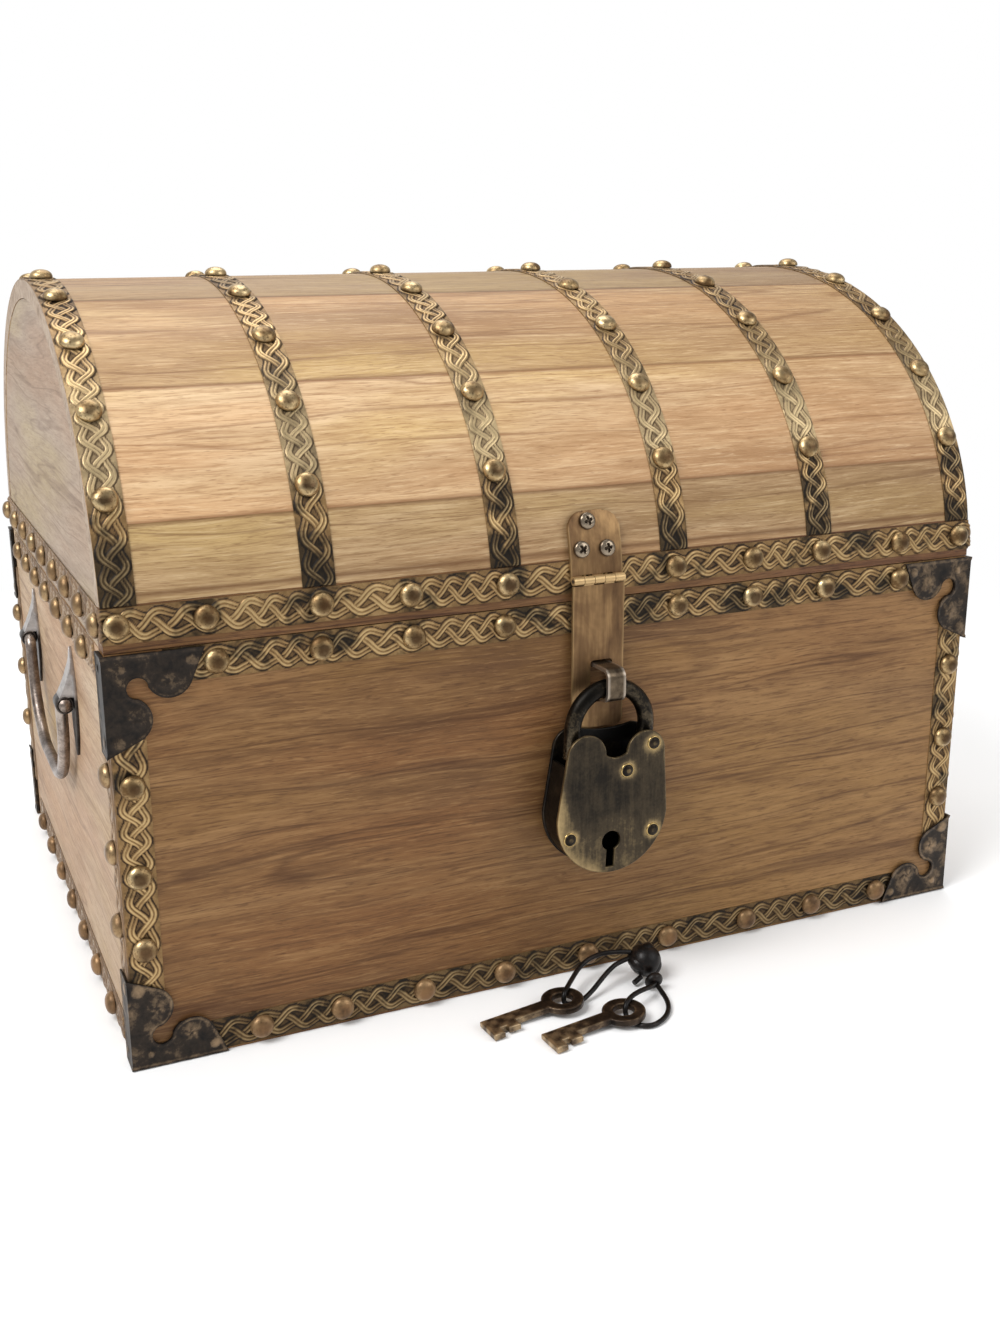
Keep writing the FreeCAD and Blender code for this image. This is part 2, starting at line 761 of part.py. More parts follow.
def lock_outline(open_notch):
    """Two lobes, sides that widen downwards and a round belly. The front plate has a notch
    between the lobes, and the back plate only a shallow dip."""
    inner = lobe_centre - lobe_radius
    outer = lobe_centre + lobe_radius
    crown = lobe_drop - lobe_radius
    edges = [
        arc(lock_spot(lock_half_width, belly_drop), lock_spot(0, belly_drop + belly_depth),
            lock_spot(-lock_half_width, belly_drop)),
        line(lock_spot(-lock_half_width, belly_drop), lock_spot(-outer, lobe_drop)),
        line(lock_spot(outer, lobe_drop), lock_spot(lock_half_width, belly_drop)),
    ]
    if open_notch:
        edges += [
            arc(lock_spot(-outer, lobe_drop), lock_spot(-lobe_centre, crown), lock_spot(-inner, lobe_drop)),
            arc(lock_spot(-inner, lobe_drop), lock_spot(0, notch_drop), lock_spot(inner, lobe_drop)),
            arc(lock_spot(inner, lobe_drop), lock_spot(lobe_centre, crown), lock_spot(outer, lobe_drop)),
        ]
    else:
        slant = lobe_radius * math.sin(math.radians(45))
        edges.append(arc(lock_spot(-lobe_centre, crown), lock_spot(0, crown + back_dip), lock_spot(lobe_centre, crown)))
        for side in (-1, 1):
            middle = lock_spot(side * (lobe_centre + slant), lobe_drop - slant)
            edges.append(arc(lock_spot(side * outer, lobe_drop), middle, lock_spot(side * lobe_centre, crown)))
    return Part.Wire(Part.__sortEdges__(edges))


def rivet_places():
    return (
        (leg_across, pivot_drop), (rivet_middle_across, rivet_middle_drop),
        (rivet_low_across, rivet_low_drop), (-rivet_low_across, rivet_low_drop),
    )


def lock_slab(outline, y_start, y_end):
    slab = Part.Face(outline).extrude(vec(0, y_end - y_start, 0))
    slab.translate(vec(0, y_start - lock_y, 0))
    return slab


def drilled(slab, y_start, y_end):
    for across, drop in rivet_places():
        start = lock_spot(across, drop, y_start - overrun)
        length = y_end - y_start + 2 * overrun
        slab = slab.cut(Part.makeCylinder(rivet_radius + running_gap, length, start, y_axis))
    return slab


lock_front = lock_y - lock_half_depth
lock_back = lock_y + lock_half_depth


def lock_front_plate():
    y_span = (lock_front, lock_front + lock_plate)
    plate = drilled(lock_slab(lock_outline(True), *y_span), *y_span)
    start = lock_spot(0, keyhole_drop, lock_front - overrun)
    through = lock_plate + 2 * overrun
    hole = Part.makeCylinder(keyhole_radius, through, start, y_axis)
    slit = box(
        (lock_centre - keyhole_slit / 2, lock_centre + keyhole_slit / 2),
        (lock_front - overrun, lock_front - overrun + through),
        (shackle_bar_height - keyhole_drop - keyhole_length, shackle_bar_height - keyhole_drop),
    )
    return leaned(plate.cut(hole).cut(slit).removeSplitter())


def lock_back_plate():
    y_span = (lock_back - lock_plate, lock_back)
    return leaned(drilled(lock_slab(lock_outline(False), *y_span), *y_span))


def lock_case_wall():
    """Strip between the plates, open at the top for the shackle."""
    y_span = (lock_front + lock_plate, lock_back - lock_plate)
    outline = lock_outline(True)
    outer = lock_slab(outline.makeOffset2D(-lock_wall_inset), *y_span)
    inner = lock_slab(outline.makeOffset2D(-lock_wall_inset - lock_wall), *y_span)
    strip = outer.cut(inner)
    opening = box(
        (lock_centre - lock_half_width - overrun, lock_centre + lock_half_width + overrun),
        (y_span[0] - overrun, y_span[1] + overrun),
        (shackle_bar_height - wall_open_drop, shackle_bar_height + overrun),
    )
    return leaned(strip.cut(opening))


def lock_rivets():
    rivets = []
    for across, drop in rivet_places():
        start = lock_spot(across, drop, lock_front)
        shank = Part.makeCylinder(rivet_radius, lock_back - lock_front, start, y_axis)
        heads = []
        for y, direction in ((lock_front, -1), (lock_back, 1)):
            heads.append(Part.makeCone(
                rivet_head_radius, rivet_radius, rivet_head_height, lock_spot(across, drop, y), y_axis * direction))
        rivets.append(leaned(shank.fuse(heads).removeSplitter()))
    return rivets


def lock_bolt():
    nose = lock_centre - leg_across + shackle_rod / 2 + 2 * edge_gap
    y_back = lock_back - lock_plate
    z_middle = shackle_bar_height - bolt_drop
    bar = box((nose, nose + bolt_length), (y_back - bolt_depth, y_back), (z_middle - bolt_height / 2, z_middle + bolt_height / 2))
    return leaned(bar)


# Drop handles on the left end. The right end mirrors them.
handle_x = -half_width - handle_plate_thickness - handle_barrel_radius


def handle_plate(y):
    half_length = handle_plate_length / 2
    x = -half_width
    tip = vec(x, y, handle_height + half_length)
    toe = vec(x, y, handle_height - half_length)
    edges = []
    for side in (-1, 1):
        edges.append(arc(tip, vec(x, y + side * handle_plate_width / 2, handle_height), toe))
    leaf = face_of(edges).extrude(vec(-handle_plate_thickness, 0, 0))
    start = vec(handle_x, y - handle_barrel_length / 2, handle_height)
    barrel = Part.makeCylinder(handle_barrel_radius, handle_barrel_length, start, y_axis)
    web = box(
        (-half_width - handle_plate_thickness, handle_x),
        (y - handle_barrel_length / 2, y + handle_barrel_length / 2),
        (handle_height - handle_barrel_radius / 2, handle_height + handle_barrel_radius / 2),
    )
    bore_start = vec(handle_x, y - handle_barrel_length, handle_height)
    bore = Part.makeCylinder(bail_rod / 2 + running_gap, 2 * handle_barrel_length, bore_start, y_axis)
    return leaf.fuse([barrel, web]).cut(bore).removeSplitter()


def handle_plates():
    return [handle_plate(side * handle_spacing / 2) for side in (-1, 1)]


def bail():
    pin_end = handle_spacing / 2 + handle_barrel_length / 2 + bail_pin_spare
    leg = handle_spacing / 2 - handle_barrel_length / 2 - swing_gap - bail_bend
    shape = ((pin_end, 0), (leg, 0), (leg, bail_drop), (-leg, bail_drop), (-leg, 0), (-pin_end, 0))
    points = [vec(handle_x, across, handle_height - down) for across, down in shape]
    return tube(rounded_path(points, [bail_bend, bail_corner, bail_corner, bail_bend]), bail_rod / 2)


# Keys and cord.
def key(place, angle):
    """Flat key with its bow raised on the cord. The tip lies on the floor."""
    half_shank = shank_width / 2
    bow = Part.makeCylinder(bow_radius, key_thickness)
    shank = box((0, key_length), (-half_shank, half_shank), (0, key_thickness))
    bit = box((key_length - bit_length, key_length), (half_shank, half_shank + bit_depth), (0, key_thickness))
    notch_end = key_length - bit_tip
    notch_start = notch_end - bit_notch
    for start, end, depth in (
        (notch_start, notch_end, bit_notch_depth), (key_length - bit_length - overrun, notch_start, bit_tooth_depth),
    ):
        cut_y = (half_shank + depth, half_shank + bit_depth + overrun)
        bit = bit.cut(box((start, end), cut_y, (-overrun, key_thickness + overrun)))
    hole = Part.makeCylinder(bow_hole_radius, key_thickness + 2 * overrun, vec(0, 0, -overrun))
    solid = bow.fuse([shank, bit]).cut(hole).removeSplitter()
    solid.rotate(vec(key_length, 0, 0), y_axis, key_tilt)
    solid.rotate(vec(0, 0, 0), z_axis, angle)
    solid.translate(vec(place[0], place[1], seat_gap))
    return solid


def cord_path(places):
    points = [vec(*place) for place in places]
    radii = []
    for before, corner, after in zip(points, points[1:], points[2:]):
        half_bend = (half_turn - math.degrees((before - corner).getAngle(after - corner))) / 2
        run = min((corner - before).Length, (after - corner).Length)
        radii.append(cord_bend_share * run / math.tan(math.radians(half_bend)))
    return rounded_path(points, radii), radii


def cord_knot():
    body = Part.makeSphere(knot_radius, vec(*knot_place))
    lump = Part.makeSphere(knot_lump_radius, vec(*knot_lump_place))
    start = vec(*knot_end_start)
    way = vec(*knot_end_tip) - start
    end = Part.makeCylinder(knot_end_radius, way.Length, start, way)
    return body.fuse([lump, end]).removeSplitter()


def cord_loop(name, places):
    path, radii = cord_path(places)
    solid = tube(path, cord_radius)
    expected = math.pi * cord_radius ** 2 * path.Length
    print("%s: length %.1f, volume / section x length %.4f" % (name, path.Length, solid.Volume / expected))
    print("%s: bend radii %s" % (name, " ".join("%.1f" % radius for radius in radii)))
    return solid


# Every node, with one solid or a group of separate solids.
nodes = {
    "front_panel": front_board(),
    "back_panel": back_board(),
    "left_panel": side_board(),
    "right_panel": mirrored_x(side_board()),
    "base_board": base_board(),
    "lid_end_left": lid_end(),
    "lid_end_right": mirrored_x(lid_end()),
    "lid_band": lid_strip(),
    "case_top_band_front": front_strip(case_height - band_width),
    "case_top_band_back": mirrored_y(front_strip(case_height - band_width)),
    "case_top_band_left": side_strip(case_height - band_width),
    "case_top_band_right": mirrored_x(side_strip(case_height - band_width)),
    "bottom_band_front": front_strip(bottom_margin),
    "bottom_band_back": mirrored_y(front_strip(bottom_margin)),
    "bottom_band_left": side_strip(bottom_margin),
    "bottom_band_right": mirrored_x(side_strip(bottom_margin)),
    "corner_bands": four_corners(corner_strip()),
    "top_brackets": four_corners(bracket()),
    "bottom_brackets": four_corners(bracket_low()),
    "case_nails": case_nails(),
    "lid_nails": lid_nails(),
    "staple": staple(),
    "hasp_leaf": hasp_leaf(),
    "hasp_screws": hasp_screws(),
    "hasp_strap": hasp_strap(),
    "hasp_pin": hasp_pin(),
    "hinge_case_leaves": [case_hinge_leaf(side * hinge_place) for side in (-1, 1)],
    "hinge_lid_leaves": [lid_hinge_leaf(side * hinge_place) for side in (-1, 1)],
    "hinge_pins": [hinge_pin(side * hinge_place) for side in (-1, 1)],
    "shackle": shackle(),
    "lock_front_plate": lock_front_plate(),
    "lock_back_plate": lock_back_plate(),
    "lock_case_wall": lock_case_wall(),
    "lock_rivets": lock_rivets(),
    "lock_bolt": lock_bolt(),
    "handle_plates_left": handle_plates(),
    "handle_plates_right": [mirrored_x(plate) for plate in handle_plates()],
    "left_bail": bail(),
    "right_bail": mirrored_x(bail()),
    "key_left": key(left_key_place, left_key_angle),
    "key_right": key(right_key_place, right_key_angle),
    "cord_knot": cord_knot(),
}
nodes.update(lid_boards())
nodes.update(dome_strips())
nodes["cord_loop_left"] = cord_loop("cord_loop_left", left_loop)
nodes["cord_loop_right"] = cord_loop("cord_loop_right", right_loop)

os.makedirs("parts", exist_ok=True)
for name, shape in nodes.items():
    solids = shape if isinstance(shape, list) else [shape]
    whole = solids[0] if len(solids) == 1 else Part.makeCompound(solids)
    whole.exportStep("parts/%s.step" % name)
print("nodes", len(nodes))
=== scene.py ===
import cmath
import math

import bmesh
import bpy
import numpy as np
from mathutils import Matrix, Vector


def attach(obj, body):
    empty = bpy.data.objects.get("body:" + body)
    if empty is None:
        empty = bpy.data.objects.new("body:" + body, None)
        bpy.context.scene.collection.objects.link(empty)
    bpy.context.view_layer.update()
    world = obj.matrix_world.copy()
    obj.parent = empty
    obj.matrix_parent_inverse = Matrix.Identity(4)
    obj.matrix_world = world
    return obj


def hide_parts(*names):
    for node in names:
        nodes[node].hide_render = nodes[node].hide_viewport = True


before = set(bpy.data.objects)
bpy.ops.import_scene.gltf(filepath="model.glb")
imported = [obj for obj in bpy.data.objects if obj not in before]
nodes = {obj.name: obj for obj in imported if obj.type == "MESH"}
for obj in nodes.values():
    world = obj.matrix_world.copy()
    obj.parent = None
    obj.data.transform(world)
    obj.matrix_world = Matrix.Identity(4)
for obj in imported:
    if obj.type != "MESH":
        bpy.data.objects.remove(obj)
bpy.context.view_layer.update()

mm = 0.001

# Sizes of the chest in metres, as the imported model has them.
chest_width = 450 * mm
chest_depth = 340 * mm
case_height = 190 * mm
seam_height = 190.4 * mm
lid_rise = 149 * mm
half_width = chest_width / 2
half_depth = chest_depth / 2

# Strips of embossed brass. The plait has three strands.
band_width = 15 * mm
band_thickness = 1.2 * mm
band_seat = 0.1 * mm
band_gap = 0.3 * mm
lid_band_low = 194 * mm
lid_band_high = lid_band_low + band_width
case_band_height = 182.5 * mm
strip_start = 24 * mm
bottom_band_height = 8.5 * mm
band_place_shares = (0.017, 0.208, 0.405, 0.602, 0.789, 0.983)
plait_pitch = 35 * mm
plait_swing = 4.7 * mm
plait_hook = 0.15
plait_wander = 2.2 * mm
plait_wander_pitch = 83 * mm
strand_half = 1.85 * mm
sheet_level = 0.35 * mm
weave_share = 0.35
relief_step = 0.55 * mm
relief_rows = 32

# Dome-headed nails.
nail_width = 11 * mm
nail_height = 3.9 * mm
lid_front_shares = (0.013, 0.096, 0.208, 0.300, 0.405, 0.602, 0.699, 0.789, 0.898, 0.983)
case_front_shares = (0.103, 0.206, 0.302, 0.401, 0.605, 0.700, 0.797, 0.900)
bottom_front_shares = (0.128, 0.214, 0.306, 0.400, 0.502, 0.605, 0.711, 0.803, 0.898)
lid_back_shares = (0.013, 0.102, 0.208, 0.405, 0.5, 0.602, 0.789, 0.898, 0.983)
case_back_shares = (0.103, 0.206, 0.401, 0.5, 0.605, 0.797, 0.900)
lid_side_shares = (0.02, 0.14, 0.26, 0.38, 0.5, 0.62, 0.74, 0.86, 0.98)
case_side_shares = (0.14, 0.26, 0.38, 0.5, 0.62, 0.74, 0.86)
corner_front_shares = (0.695, 0.48, 0.30)
corner_side_shares = (0.715, 0.53, 0.35)
dome_nail_first_share = 0.1333
dome_nail_step_share = 0.0841
dome_nail_count = 10

# Corner plates.
plate_thickness = 1.1 * mm
bracket_edge = 0.3 * mm
bracket_reach = 44 * mm
bracket_web = 11.6 * mm
bracket_root = 19.5 * mm
bracket_waist = 15 * mm
bracket_lobe = 20.4 * mm
bracket_lobe_place = 29 * mm
bracket_shoulder = 37.5 * mm
bracket_shoulder_drop = 14.8 * mm
bracket_flange = 13.1 * mm
bracket_emboss = 0.6 * mm

# Hasp, its screws and the staple.
hasp_centre = 2.4 * mm
hasp_width = 27 * mm
hasp_barrel_z = 200.2 * mm
hasp_barrel_y = -173.7 * mm
hasp_leaf_height = 31 * mm
leaf_outer = 2.8 * mm
leaf_inner = 1.4 * mm
screw_radius = 4.0 * mm
screw_height = 2.4 * mm
screw_across_shares = (-0.122, -0.278, 0.215)
screw_height_shares = (0.848, 0.447, 0.437)
screw_turns = (0.35, 0.6, 0.15)
slot_half_width = 0.75 * mm
slot_half_length = 2.3 * mm
slot_depth = 1.3 * mm
staple_centre = 4.2 * mm
staple_half_width = 4.7 * mm

# Drop handles.
handle_x = 230.8 * mm
handle_height = 142.5 * mm
handle_spacing = 140 * mm
handle_half_length = 27.5 * mm
handle_half_width = 8 * mm
handle_thickness = 1.5 * mm
barrel_radius = 4.3 * mm
barrel_bore = 3.1 * mm
barrel_length = 12 * mm
boss_low = 3.7 * mm
boss_high = 22.5 * mm
boss_out = 6.6 * mm
bail_radius = 3 * mm
bail_pin_end = 77 * mm
bail_leg = 59.1 * mm
bail_bend = 4.5 * mm
bail_drop = 51 * mm
bail_corner = 40 * mm

# Padlock. Places are taken across from its centre line and down from the shackle's bar.
lock_centre = Vector((5.2 * mm, -183.3 * mm, 150.6 * mm))
lock_bar = Vector((5.2 * mm, -182.9 * mm, 150.6 * mm))
lock_lean = math.radians(3)
lock_half_depth = 8.4 * mm
lock_plate = 1.8 * mm
lock_half_width = 29.4 * mm
lobe_radius = 10.2 * mm
lobe_centre = 15.8 * mm
lobe_drop = 30.6 * mm
notch_drop = 32.4 * mm
back_dip = 2.2 * mm
belly_drop = 60.9 * mm
belly_depth = 28.8 * mm
keyhole_radius = 4.9 * mm
keyhole_drop = 73.7 * mm
keyhole_slit = 4.3 * mm
keyhole_length = 13.2 * mm
rivet_places = (
    (19.6 * mm, 26.8 * mm), (6.1 * mm, 39.1 * mm), (22.3 * mm, 70.6 * mm), (-22.3 * mm, 70.6 * mm),
)
rivet_radius = 3.5 * mm
rivet_height = 1.4 * mm

# Keys.
key_thickness = 3.2 * mm
bow_radius = 10.2 * mm
bow_hole = 4.8 * mm
shank_half = 3.75 * mm
key_length = 42.6 * mm
bit_length = 15 * mm
bit_depth = 6.5 * mm
bit_tip = 5.6 * mm
bit_notch = 3.2 * mm
bit_notch_depth = 2 * mm
bit_tooth_depth = 4.4 * mm
key_tilt = math.radians(3.4)
key_turn = math.radians(184.5)
key_lift = 0.1 * mm
left_key_place = (-28.7 * mm, -200.6 * mm)
right_key_place = (-7.6 * mm, -221.5 * mm)

# Knot of the cord.
knot_place = Vector((21.6 * mm, -191.5 * mm, 10.2 * mm))
knot_swing = 1.9 * mm
knot_rise = 2.6 * mm
knot_tube = 3.2 * mm
knot_core = 7.9 * mm
wrap_place = Vector((19.6 * mm, -203.2 * mm, 5.3 * mm))
wrap_radius = 2.4 * mm
wrap_tube = 2.2 * mm
wrap_exit = Vector((19.6 * mm, -208 * mm, 3.6 * mm))
stub_start = Vector((17.5 * mm, -195 * mm, 3.6 * mm))
stub_tip = Vector((12.6 * mm, -196.6 * mm, 2.2 * mm))
stub_radius = 1.3 * mm

# Floor and backdrop, and how far off the floor turns plain white.
stage_reach = 2.6
stage_half = 3.2
stage_bend = 0.5
stage_rise = 2.4
white_from = 0.35
white_to = 0.9

# Cord loops of the keys: the route's points, as in the part's source.
cord_diameter = 2.4 * mm
left_loop = (
    (0.0155, -0.1885, 0.0145), (0.0065, -0.1826, 0.0138), (-0.0030, -0.1810, 0.0118),
    (-0.0105, -0.1838, 0.0098), (-0.0165, -0.1886, 0.0082), (-0.0222, -0.1941, 0.0076),
    (-0.0276, -0.1995, 0.0073), (-0.0278, -0.1999, 0.00135), (-0.0195, -0.2009, 0.00135),
    (-0.0120, -0.1982, 0.0036), (-0.0050, -0.1946, 0.0064), (0.0018, -0.1912, 0.0090),
    (0.0085, -0.1892, 0.0110), (0.0150, -0.1896, 0.0120),
)
right_loop = (
    (0.0192, -0.2048, 0.0046), (0.0158, -0.2080, 0.0056), (0.0112, -0.2105, 0.0067),
    (0.0056, -0.2128, 0.0075), (-0.0006, -0.2158, 0.0078), (-0.0063, -0.2202, 0.0073),
    (-0.0068, -0.2214, 0.00135), (-0.0052, -0.2300, 0.00135), (0.0006, -0.2332, 0.00135),
    (0.0086, -0.2302, 0.00135), (0.0149, -0.2245, 0.0014), (0.0186, -0.2178, 0.0016),
    (0.0200, -0.2110, 0.0024), (0.0202, -0.2052, 0.0038),
)


def placed(name, data):
    """A new object in the scene."""
    made = bpy.data.objects.new(name, data)
    bpy.context.scene.collection.objects.link(made)
    return made


# Camera.
def add_camera():
    data = bpy.data.cameras.new("camera")
    camera = placed("camera", data)
    right = Vector((0.92569, -0.37785, -0.01807))
    up = Vector((0.11286, 0.23027, 0.96656))
    back = right.cross(up).normalized()
    place = Vector((-0.3058, -0.7164, 0.3364))
    axes = Matrix((right, up, back)).transposed().to_4x4()
    camera.matrix_world = Matrix.Translation(place) @ axes
    data.sensor_width = 36
    data.lens = 36.9
    data.shift_x = 0.060
    data.shift_y = -0.020
    bpy.context.scene.camera = camera


add_camera()


# Materials.
class Field:
    """An output of a material's node. Arithmetic on it adds Math nodes."""

    def __init__(self, shader, socket):
        self.shader = shader
        self.socket = socket

    def maths(self, operation, other=0.0):
        made = self.shader.node("Math", operation=operation)
        self.shader.feed(self, made.inputs[0])
        self.shader.feed(other, made.inputs[1])
        return Field(self.shader, made.outputs[0])

    def __add__(self, other):
        return self.maths("ADD", other)

    def __sub__(self, other):
        return self.maths("SUBTRACT", other)

    def __mul__(self, other):
        return self.maths("MULTIPLY", other)

    def __truediv__(self, other):
        return self.maths("DIVIDE", other)

    def __abs__(self):
        return self.maths("ABSOLUTE")

    def ramp(self, *stops):
        """stops are (place, grey or colour) from low to high."""
        made = self.shader.node("ValToRGB")
        self.shader.feed(self, made.inputs["Fac"])
        elements = made.color_ramp.elements
        while len(elements) < len(stops):
            elements.new(0.5)
        for element, (where, tone) in zip(elements, stops):
            element.position = where
            element.color = (*tone, 1) if isinstance(tone, tuple) else (tone, tone, tone, 1)
        return Field(self.shader, made.outputs["Color"])

    def towards(self, tone, share):
        """This colour with a share of another in it."""
        made = self.shader.node("Mix", data_type="RGBA")
        for value, index in ((share, 0), (self, 6), (tone, 7)):
            self.shader.feed(value, made.inputs[index])
        return Field(self.shader, made.outputs[2])

    def bump(self, distance, strength=1.0, under=None):
        made = self.shader.node("Bump")
        made.inputs["Distance"].default_value = distance
        made.inputs["Strength"].default_value = strength
        self.shader.feed(self, made.inputs["Height"])
        if under:
            self.shader.feed(under, made.inputs["Normal"])
        return Field(self.shader, made.outputs["Normal"])


class Shader:
    """A material and short ways to add and join its nodes."""

    def __init__(self, name):
        self.material = bpy.data.materials.new(name)
        self.material.use_nodes = True
        self.tree = self.material.node_tree
        self.surface = self.tree.nodes["Principled BSDF"]
        self.coordinates = self.node("TexCoord")

    def node(self, kind, **settings):
        made = self.tree.nodes.new("ShaderNode" + kind)
        for key, value in settings.items():
            setattr(made, key, value)
        return made

    def join(self, source, target):
        self.tree.links.new(source, target)

    def feed(self, value, socket):
        if isinstance(value, Field):
            self.join(value.socket, socket)
        else:
            socket.default_value = (*value, 1) if isinstance(value, tuple) else value

    def parts(self, kind="Object"):
        """The x, y and z of the object's coordinates, or of its normals."""
        made = self.node("SeparateXYZ")
        self.join(self.coordinates.outputs[kind], made.inputs[0])
        return [Field(self, output) for output in made.outputs]

    def attribute(self, name):
        return Field(self, self.node("Attribute", attribute_name=name).outputs["Fac"])

    def noise(self, scale, detail=4.0, roughness=0.55, distortion=0.0, shift=(0, 0, 0),
              source=None, output="Fac"):
        """Noise of one scale, or of one scale for each axis."""
        mapping = self.node("Mapping")
        self.join(source or self.coordinates.outputs["Object"], mapping.inputs["Vector"])
        mapping.inputs["Scale"].default_value = scale if isinstance(scale, tuple) else [scale] * 3
        mapping.inputs["Location"].default_value = shift
        made = self.node("TexNoise")
        self.join(mapping.outputs["Vector"], made.inputs["Vector"])
        made.inputs["Scale"].default_value = 1
        made.inputs["Detail"].default_value = detail
        made.inputs["Roughness"].default_value = roughness
        made.inputs["Distortion"].default_value = distortion
        return Field(self, made.outputs[output])

    def waved(self, scale, shift, reach):
        """Object places pushed about by a slow noise, up to a reach on each axis."""
        push = self.node("VectorMath", operation="MULTIPLY_ADD")
        self.feed(self.noise(scale, 2, 0.5, 0, shift, output="Color"), push.inputs[0])
        push.inputs[1].default_value = reach
        self.join(self.coordinates.outputs["Object"], push.inputs[2])
        return push.outputs["Vector"]

    def finish(self, colour, roughness, metallic=0.0, normal=None, specular=0.5):
        self.feed(colour, self.surface.inputs["Base Color"])
        self.feed(roughness, self.surface.inputs["Roughness"])
        self.feed(metallic, self.surface.inputs["Metallic"])
        self.surface.inputs["Specular IOR Level"].default_value = specular
        if normal:
            self.feed(normal, self.surface.inputs["Normal"])
        return self.material


def linear(*tones):
    """Screen tones from 0 to 255 as a scene colour."""
    shares = [tone / 255 for tone in tones]
    return tuple(share / 12.92 if share <= 0.04045 else ((share + 0.055) / 1.055) ** 2.4
                 for share in shares)


def tinted(colour, *shares):
    return tuple(part * share for part, share in zip(colour, shares))


def shares_along(axis, along, across):
    """Mapping scale with one value along the grain and another across it."""
    return tuple(along if index == axis else across for index in range(3))


def wood(name, shift, tones, axis=0, contrast=1.0, joints=(), painted_light_ramp=(), cut_tones=()):
    """Waxed hardwood in pale, middle and deep tones with its grain along one axis, and end
    grain across it in cut_tones. joints are the turn shares of the lid's curve where one
    stave meets the next. painted_light_ramp is a tone and the stops of its share from the
    chest's left end to its right end, which paint light and shade across the chest."""
    pale, middle, deep = tones
    dark = tinted(deep, 0.62, 0.5, 0.42)
    reddish = tinted(middle, 0.98, 0.85, 0.78)
    yellowish = tinted(middle, 1.05, 1.07, 0.80)
    made = Shader(name)
    x, y, z = made.parts()
    offset = (shift, shift * 1.7, shift * 0.6)
    waved = made.waved(shares_along(axis, 7, 22), offset, shares_along(axis, 0.0, 0.010))

    def along_grain(along, across, detail, roughness=0.5, distortion=0.0):
        scale = shares_along(axis, along, across)
        return made.noise(scale, detail, roughness, distortion, offset, waved)

    figure = along_grain(2.4, 15, 3, 0.6, 0.4)
    warmth = along_grain(4, 20, 3)
    rings = (along_grain(1.2, 9, 1.5, 0.4, 0.25) * 130.0).maths("SINE")
    coarse = along_grain(14, 240, 3, 0.65, 0.3)
    fibres = along_grain(48, 900, 3, 0.75, 0.3)
    streaks = along_grain(1.6, 46, 3, 0.55, 0.5)
    pores = along_grain(130, 1500, 2)
    layers = [
        (warmth, reddish, (0.36, 0.75), (0.50, 0.0)),
        (warmth, yellowish, (0.51, 0.0), (0.65, 0.7)),
        (rings, deep, (0.45, 0.0), (1.0, 0.36 * contrast)),
        (coarse, deep, (0.33, 0.34 * contrast), (0.50, 0.0)),
        (coarse, pale, (0.54, 0.0), (0.68, 0.36 * contrast)),
        (fibres, deep, (0.34, 0.9 * contrast), (0.50, 0.0)),
        (fibres, pale, (0.54, 0.0), (0.68, 0.6 * contrast)),
        (streaks, dark, (0.468, 0.0), (0.485, 0.8 * contrast), (0.502, 0.0)),
        (pores, dark, (0.30, 0.6 * contrast), (0.39, 0.0)),
    ]
    # Painted light and shade: the board grows paler or darker from the chest's left end to its right.
    if painted_light_ramp:
        layers.insert(2, (x / chest_width + 0.5, *painted_light_ramp))
    if joints:
        up = (z - seam_height) / lid_rise
        turn = up.maths("ARCTAN2", y * -1.0 / half_depth) / math.pi
        layers += [(abs(turn - joint), dark, (0.0004, 0.8), (0.0014, 0.0)) for joint in joints]
    colour = figure.ramp((0.32, deep), (0.46, middle), (0.54, middle), (0.70, pale))
    for field, tone, *stops in layers:
        colour = colour.towards(tone, field.ramp(*stops))
    cut_pale, cut_middle, cut_deep = cut_tones or tones
    cross = made.noise(150, 3, 0.6, 1.5, offset)
    cut_colour = cross.ramp((0.3, cut_deep), (0.5, cut_middle), (0.8, cut_pale))
    is_cut = abs(made.parts("Normal")[axis]).ramp((0.55, 0.0), (0.75, 1.0))
    colour = colour.towards(cut_colour, is_cut)
    shine = along_grain(3, 40, 3).ramp((0.3, 0.46), (0.7, 0.62))
    normal = pores.bump(0.0003, 0.3, fibres.bump(0.0005, 0.5))
    return made.finish(colour, shine, 0.0, normal, 0.25)


def dulled_ends(made, colour, tone, share):
    """The strips and nails of the two ends are dull and pale, from 0.1 mm off the boards."""
    beyond = abs(made.parts()[0]) * 4.0
    return colour.towards(tone, beyond.ramp((0.9006, 0.0), (0.9022, share)))


